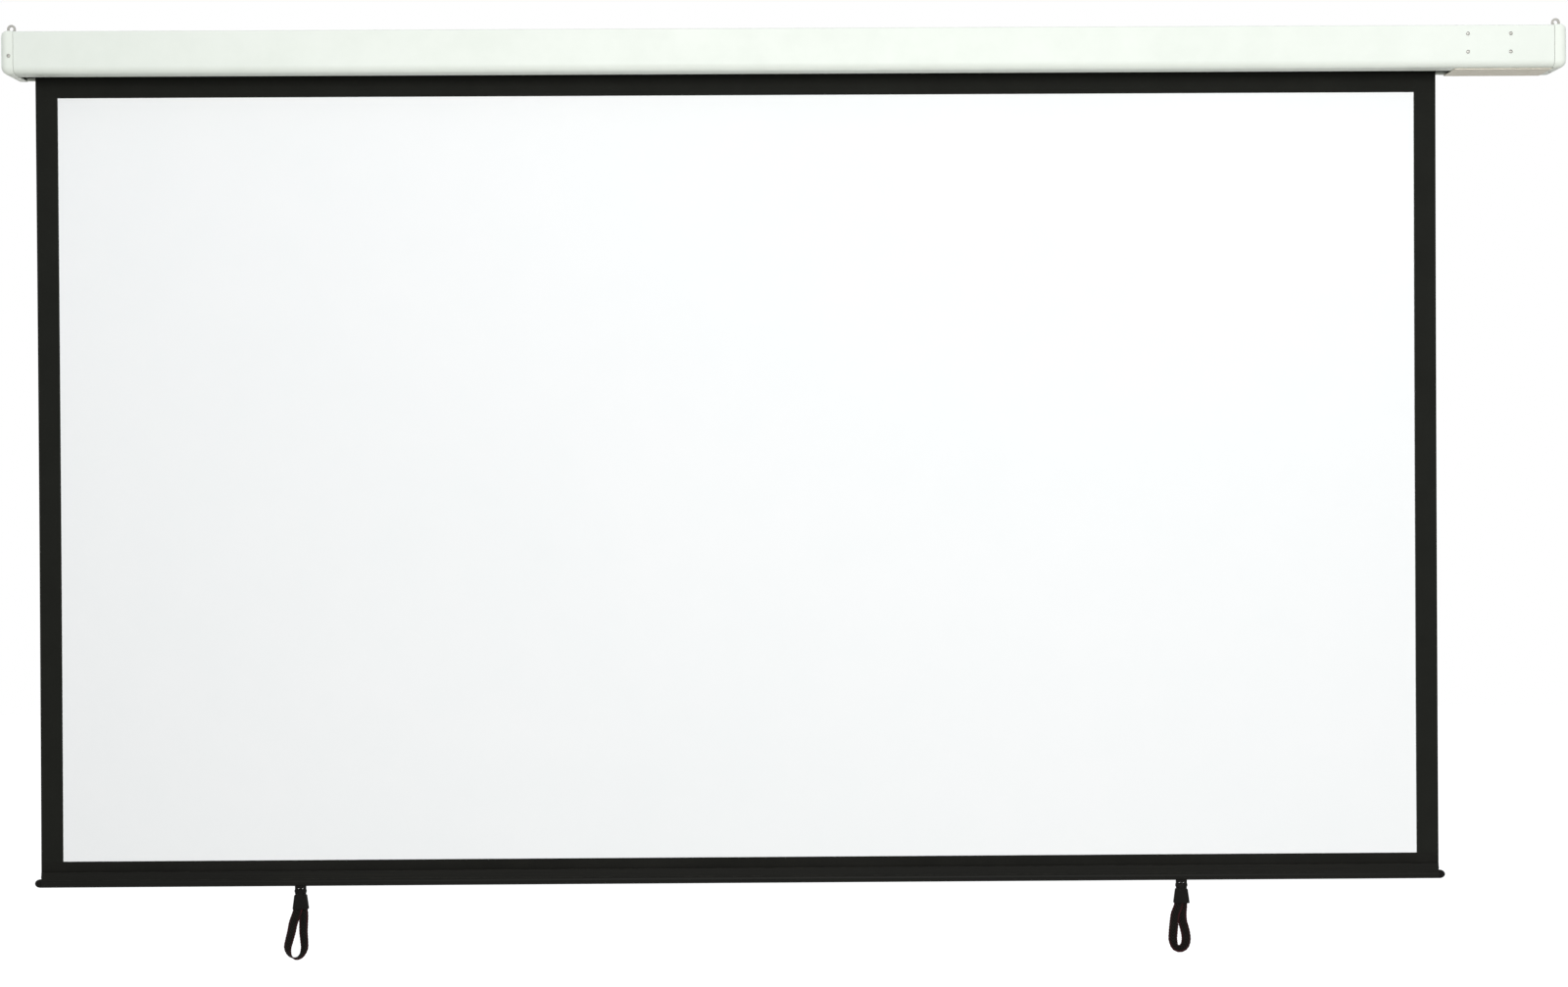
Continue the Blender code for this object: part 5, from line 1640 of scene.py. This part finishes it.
@dataclass
class PullLoop:
    """One pull loop: a seat under the bar, a swinging clip on a pin and a webbing loop."""

    side: Side
    bar: WeightBar
    seat_width: float = 0.017
    seat_depth: float = 0.009
    seat_rise: float = 0.0025
    seat_edge: float = 0.0003
    ear_gap: float = 0.010
    ear_gap_drop: float = 0.0032
    ear_radius: float = 0.0054
    pivot_drop: float = 0.008
    pin_radius: float = 0.0015
    pin_head: float = 0.0024
    pin_rise: float = 0.0010
    pin_edge: float = 0.0006
    rivet_head: float = 0.0026
    rivet_rise: float = 0.0008
    rivet_edge: float = 0.0005
    tongue_radius: float = 0.0035
    clip_drop: float = 0.0058
    clip_height: float = 0.024
    clip_top: float = 0.020
    clip_mouth: float = 0.0265
    clip_depth: float = 0.0096
    clip_edge: float = 0.0018
    clip_wall: float = 0.00125
    pocket: float = 0.0145
    strap_width: float = 0.015
    strap_thickness: float = 0.0022
    leg_stack: float = 0.0016
    scallop: float = 0.0004
    scallop_start: float = 0.004
    braid: float = 0.0048
    steps: int = 24

    @property
    def x(self) -> float:
        """X of the loop's middle."""
        return self.bar.pull_x(self.side)

    @property
    def gap_top(self) -> float:
        """The height of the top of the gap between the seat's ears."""
        return self.bar.bottom - self.ear_gap_drop

    @property
    def pivot_z(self) -> float:
        """The height of the pin's middle."""
        return self.bar.bottom - self.pivot_drop

    @property
    def mouth_z(self) -> float:
        """The height of the clip's mouth."""
        return self.pivot_z - self.clip_drop - self.clip_height

    def build(self, palette: Palette) -> None:
        """Make the loop's five pieces.

        Args:
            palette: The finishes.
        """
        word = self.side.word
        fit(word + "_pull_seat", self.seat(), [palette.plastic], "bar",
            word + "_pull_bracket")
        fit(word + "_seat_rivet", self.rivet(), [palette.dark_zinc], "bar",
            word + "_pull_rivet")
        fit(word + "_hinge_pin", self.pin(), [palette.dark_zinc], "bar",
            word + "_pull_pin")
        fit(word + "_webbing_clip", self.clip(), [palette.plastic], word + "_pull",
            word + "_pull_clip")
        fit(word + "_webbing_strap", self.strap(), [palette.strap], word + "_pull",
            word + "_pull_webbing", 60.0)

    def seat(self) -> Shape:
        """Make the seat that fits the bulb, with its two ears.

        Returns:
            The solid.
        """
        bar = self.bar
        half, deep = self.seat_width / 2, self.seat_depth / 2
        near, far = self.x - half, self.x + half
        top = bar.bottom + self.seat_rise
        lean = math.degrees(math.acos(deep / self.ear_radius))
        outline = arc((bar.plane, self.pivot_z), self.ear_radius, 180 + lean, 360 - lean, 24)
        outline += [(bar.plane + deep, top), (bar.plane - deep, top)]
        bulb = peg(Sweep.X, (bar.plane, bar.bulb_z), bar.bulb + GAP, near - THROUGH,
                   far + THROUGH, 48)
        clear = 10 * THROUGH
        gap = block(Sweep.Z, (self.x - self.ear_gap / 2, bar.plane - clear),
                    (self.x + self.ear_gap / 2, bar.plane + clear), self.pivot_z - clear,
                    self.gap_top)
        pin = peg(Sweep.X, (bar.plane, self.pivot_z), self.pin_radius + GAP, near - THROUGH,
                  far + THROUGH)
        rivet = peg(Sweep.Z, (self.x, bar.plane), bar.rivet_hole, self.gap_top - THROUGH,
                    bar.bottom + THROUGH)
        shape = swept([outline], Sweep.X, near, far)
        return soften(worked(shape, [bulb, gap, pin, rivet]), self.seat_edge, 2, 50)

    def rivet(self) -> Shape:
        """Turn the rivet that holds the seat to the bulb.

        Returns:
            The solid.
        """
        bar = self.bar
        wall_top = bar.bulb_z - math.sqrt(bar.bulb_bore ** 2 - self.rivet_head ** 2)
        shank = wall_top - self.gap_top + 2 * GAP
        shape = two_headed(0.0, shank, self.pin_radius, self.rivet_head, self.rivet_rise,
                           self.rivet_edge)
        return stood(shape, (self.x, bar.plane, self.gap_top - GAP), (0, 0, 1))

    def pin(self) -> Shape:
        """Turn the hinge pin with its two heads.

        Returns:
            The solid.
        """
        reach = self.seat_width / 2 + GAP
        shape = two_headed(-reach, reach, self.pin_radius, self.pin_head, self.pin_rise,
                           self.pin_edge)
        return stood(shape, (self.x, self.bar.plane, self.pivot_z), (1, 0, 0))

    def clip(self) -> Shape:
        """Make the tapered clip with its tongue, pin hole and pocket for the webbing.

        Returns:
            The solid.
        """
        plane = self.bar.plane
        top = self.pivot_z - self.clip_drop
        near, wide = self.clip_top / 2, self.clip_mouth / 2
        half = self.clip_depth / 2
        sleeve = [(self.x - near, top), (self.x - wide, self.mouth_z),
                  (self.x + wide, self.mouth_z), (self.x + near, top)]
        body = soften(swept([sleeve], Sweep.Y, plane - half, plane + half), self.clip_edge, 5)
        tongue_half = self.ear_gap / 2 - GAP
        eye = self.tongue_radius
        outline = arc((plane, self.pivot_z), eye, 0, 180, 20)
        outline += [(plane - eye, top - self.clip_edge), (plane + eye, top - self.clip_edge)]
        tongue = swept([outline], Sweep.X, self.x - tongue_half, self.x + tongue_half)
        hole = peg(Sweep.X, (plane, self.pivot_z), self.pin_radius + GAP, self.x - self.ear_gap,
                   self.x + self.ear_gap)
        return worked(worked(body, [tongue], "UNION"), [hole, self.hollow()])

    def hollow(self) -> Shape:
        """Make the cutter of the clip's pocket, which narrows upwards as the clip does.

        Returns:
            The solid.
        """
        taper = (self.clip_mouth - self.clip_top) / 2 / self.clip_height
        mouth = self.clip_mouth / 2 - self.clip_wall
        inner = mouth - taper * self.pocket
        outer = mouth + taper * self.clip_wall
        low, high = self.mouth_z - self.clip_wall, self.mouth_z + self.pocket
        outline = [(self.x - outer, low), (self.x + outer, low), (self.x + inner, high),
                   (self.x - inner, high)]
        deep = self.leg_stack + self.strap_thickness / 2 + GAP
        return swept([outline], Sweep.Y, self.bar.plane - deep, self.bar.plane + deep)

    def strap_section(self) -> list[Pair]:
        """Draw the strap's section: flat faces between two fuller woven edges.

        Returns:
            The section, across and through.
        """
        half, thick = self.strap_width / 2, self.strap_thickness / 2
        waist, flat = 0.86 * thick, half - 2.2 * thick
        right = arc((half - thick, 0.0), thick, -90, 90, 6)
        left = arc((thick - half, 0.0), thick, 90, 270, 6)
        return [*right, (flat, waist), (0.0, waist), (-flat, waist),
                *left, (-flat, -waist), (0.0, -waist), (flat, -waist)]

    def swell(self, length: float) -> float:
        """The strap's change of width where the braid's strands turn back at its edges."""
        return self.scallop / self.strap_width * math.cos(math.tau * length / self.braid)

    def strap(self) -> Shape:
        """Loft the webbing along its loop, with its own place across and along.

        Returns:
            The closed strap.
        """
        form = LOOPS[self.side]
        top = Vector((self.x, self.bar.plane, self.mouth_z))
        last = len(form) - 1
        line = [(across * MILLIMETRE, self.leg_stack * math.cos(math.pi * number / last),
                 -below * MILLIMETRE) for number, (across, below, _) in enumerate(form)]
        turns = [(turned_by, 0.0, 0.0) for _, _, turned_by in form]
        depth = Vector((0, 1, 0))
        section = self.strap_section()
        look = 0.02
        rings, cloth = [], []
        length, previous = 0.0, None
        for step in range(last * self.steps + 1):
            place = step / self.steps
            here = smooth_point(line, place)
            ahead = smooth_point(line, min(place + look, last))
            along = (ahead - smooth_point(line, max(place - look, 0))).normalized()
            length += (here - previous).length if previous else 0.0
            previous = here
            outward = along.cross(depth).normalized()
            angle = math.radians(smooth_point(turns, place)[0])
            wide = outward * math.cos(angle) - depth * math.sin(angle)
            wide = (wide - along * wide.dot(along)).normalized()
            thick = along.cross(wide)
            free = min(1.0, max(0.0, -here.z / self.scallop_start))
            swell = 1 + free * self.swell(length)
            rings.append([top + here + wide * a * swell + thick * b for a, b in section])
            cloth += [(a + self.strap_width / 2, length, b) for a, b in section]
        shape = lofted(rings)
        layer = shape.verts.layers.float_vector.new("cloth")
        for vert, spot in zip(shape.verts, cloth):
            vert[layer] = spot
        return shape


@dataclass
class InnerParts:
    """The solids whose shape is right as packed; each gets its finish."""

    nodes: dict[str, Piece]

    def dress(self, finish: Finish, *names: str) -> None:
        """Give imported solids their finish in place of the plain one.

        Args:
            finish: The finish.
            names: The solids.
        """
        for name in names:
            solid = self.nodes[name]
            if not solid.material_slots:
                solid.data.materials.append(finish)
            for slot in solid.material_slots:
                slot.material = finish
            LOG.info("%s: packed solid, dressed", name)

    def build(self, palette: Palette) -> None:
        """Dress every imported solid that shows.

        Args:
            palette: The finishes.
        """
        self.dress(palette.zinc, "idler_pin", "motor_bracket", "upper_motor_screw",
                   "lower_motor_screw", "output_shaft")
        self.dress(palette.nylon, "idler_plug", "idler_bush", "crown_ring", "drive_wheel",
                   "upper_limit_screw", "lower_limit_screw")
        self.dress(palette.aluminium, "roller_tube")
        self.dress(palette.motor, "motor_body")
        self.dress(palette.plastic, "motor_head")
        self.dress(palette.rubber, "motor_lead")
        self.dress(palette.grey, "wiring_box", "wiring_box_lid")
        self.dress(palette.rod, "hem_rod")


@dataclass
class Studio:
    """The camera of the photograph, a soft lamp, a pale floor and a white surround."""

    eye: Triple = (-0.0322, -3.8222, -0.6903)
    yaw: float = -0.00686
    pitch: float = -0.00639
    roll: float = 0.00576
    lens: float = 53.45
    sensor: float = 36.0
    farthest: float = 50.0
    lamp_place: Triple = (0.285, -4.87, 0.525)
    lamp_target: Triple = (1.5, 0.0, 0.5)
    lamp_size: float = 1.6
    lamp_power: float = 163.0
    lamp_colour: Triple = (1.0, 0.998, 0.985)
    ambient: float = 0.51
    ground_share: float = 0.5
    sky: Colour = (0.975, 1.0, 1.02, 1.0)
    sky_rise: Pair = (-0.6, 0.317)
    backdrop: float = 1.9
    backdrop_rise: Pair = (-0.15, 0.5)
    floor_z: float = -1.97
    floor_size: float = 9.0
    floor_paint: Colour = (0.45, 0.44, 0.40, 1.0)
    seen_paint: Colour = (0.44, 0.44, 0.44, 1.0)
    seen_glow: float = 0.78

    def build(self) -> None:
        """Set up the camera, the lamp, the surround and the floor."""
        self.set_camera()
        self.hang_lamp()
        self.set_surround()
        self.lay_floor()
        bpy.context.scene.view_settings.view_transform = "Standard"

    def set_camera(self) -> None:
        """Stand the camera where the photograph was taken from."""
        turn = (Matrix.Rotation(self.yaw, 3, "Z") @ Matrix.Rotation(self.pitch, 3, "X")
                @ Matrix.Rotation(self.roll, 3, "Y"))
        view = Matrix((turn.col[0], turn.col[2], -turn.col[1])).transposed()
        data = bpy.data.cameras.new("photo_camera")
        data.lens = self.lens
        data.sensor_width = self.sensor
        data.clip_end = self.farthest
        camera = put("photo_camera", data)
        camera.matrix_world = Matrix.Translation(self.eye) @ view.to_4x4()
        bpy.context.scene.camera = camera

    def hang_lamp(self) -> None:
        """Hang the soft square lamp in front of the screen."""
        light = bpy.data.lights.new("key_lamp", "AREA")
        light.shape = "SQUARE"
        light.size = self.lamp_size
        light.energy = self.lamp_power
        light.color = self.lamp_colour
        lamp = put("key_lamp", light)
        lamp.location = self.lamp_place
        aim = Vector(self.lamp_target) - Vector(self.lamp_place)
        lamp.rotation_euler = aim.to_track_quat("-Z", "Y").to_euler()

    def seen_white(self, board: Board) -> Socket:
        """A mask of the rays that look at the background, straight or in a gloss."""
        path = board.add("ShaderNodeLightPath")
        seen = board.sum("MAXIMUM", path.outputs["Is Camera Ray"], path.outputs["Is Glossy Ray"])
        return board.sum("MAXIMUM", seen, path.outputs["Is Transmission Ray"])

    def set_surround(self) -> None:
        """Light the scene from all round, and show white behind it."""
        world = bpy.data.worlds.new("studio")
        bpy.context.scene.world = world
        world.use_nodes = True
        board = Board(world.node_tree)
        plain = world.node_tree.nodes["Background"]
        toward = board.apart(board.add("ShaderNodeTexCoord").outputs["Generated"])
        above = board.remap(toward["Z"], *self.sky_rise,
                            self.ground_share * self.ambient, self.ambient)
        behind = board.remap(toward["Y"], *self.backdrop_rise, 1.0, self.backdrop)
        board.link(board.sum("MULTIPLY", above, behind), plain, "Strength")
        plain.inputs["Color"].default_value = self.sky
        white = board.add("ShaderNodeBackground", {"Color": WHITE, "Strength": 1.0})
        both = board.add("ShaderNodeMixShader", {0: self.seen_white(board),
                                                 1: plain.outputs[0], 2: white.outputs[0]})
        board.link(both.outputs[0], world.node_tree.nodes["World Output"], "Surface")

    def pale_floor(self) -> Finish:
        """Mix the floor's finish: it looks white, keeps shadows and is clear from below.

        Returns:
            The material.
        """
        finish = bpy.data.materials.new("pale_floor")
        finish.use_nodes = True
        nodes = finish.node_tree.nodes
        nodes.remove(nodes["Principled BSDF"])
        board = Board(finish.node_tree)
        lit = board.add("ShaderNodeBsdfDiffuse", {"Color": self.floor_paint})
        thin = board.add("ShaderNodeBsdfDiffuse", {"Color": self.seen_paint})
        glow = board.add("ShaderNodeEmission", {"Color": WHITE, "Strength": self.seen_glow})
        seen = board.add("ShaderNodeAddShader", {0: thin.outputs[0], 1: glow.outputs[0]})
        both = board.add("ShaderNodeMixShader", {0: self.seen_white(board), 1: lit.outputs[0],
                                                 2: seen.outputs[0]})
        underneath = board.add("ShaderNodeNewGeometry").outputs["Backfacing"]
        clear = board.add("ShaderNodeBsdfTransparent")
        shown = board.add("ShaderNodeMixShader", {0: underneath, 1: both.outputs[0],
                                                  2: clear.outputs[0]})
        board.link(shown.outputs[0], nodes["Material Output"], "Surface")
        return finish

    def lay_floor(self) -> None:
        """Lay the floor."""
        shape = bmesh.new()
        bmesh.ops.create_grid(shape, x_segments=1, y_segments=1, size=self.floor_size)
        bmesh.ops.translate(shape, verts=shape.verts, vec=(0, 0, self.floor_z))
        mesh = to_mesh("studio_floor", shape)
        mesh.materials.append(self.pale_floor())
        put("studio_floor", mesh)


def main() -> None:
    """Load the frame and build the studio and every piece of the screen around it."""
    logging.basicConfig(level=logging.INFO, format="%(message)s")
    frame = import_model()
    Studio().build()
    sheet = Sheet()
    palette = mix_palette(sheet.width, sheet.length, sheet.side_border,
                          sheet.top - sheet.picture_top)
    casing = Casing()
    bay = MotorBay(casing)
    casing.build(palette, bay.rivet_places(), bay.outlet)
    bay.build(palette)
    for side in Side:
        cap = EndCap(side, casing)
        cap.build(palette)
        EndBracket(side, casing, cap).build(palette)
    sheet.build(palette)
    bar = WeightBar()
    bar.build(palette)
    for side in Side:
        PullLoop(side, bar).build(palette)
    InnerParts(frame["nodes"]).build(palette)


if __name__ == "__main__":
    main()
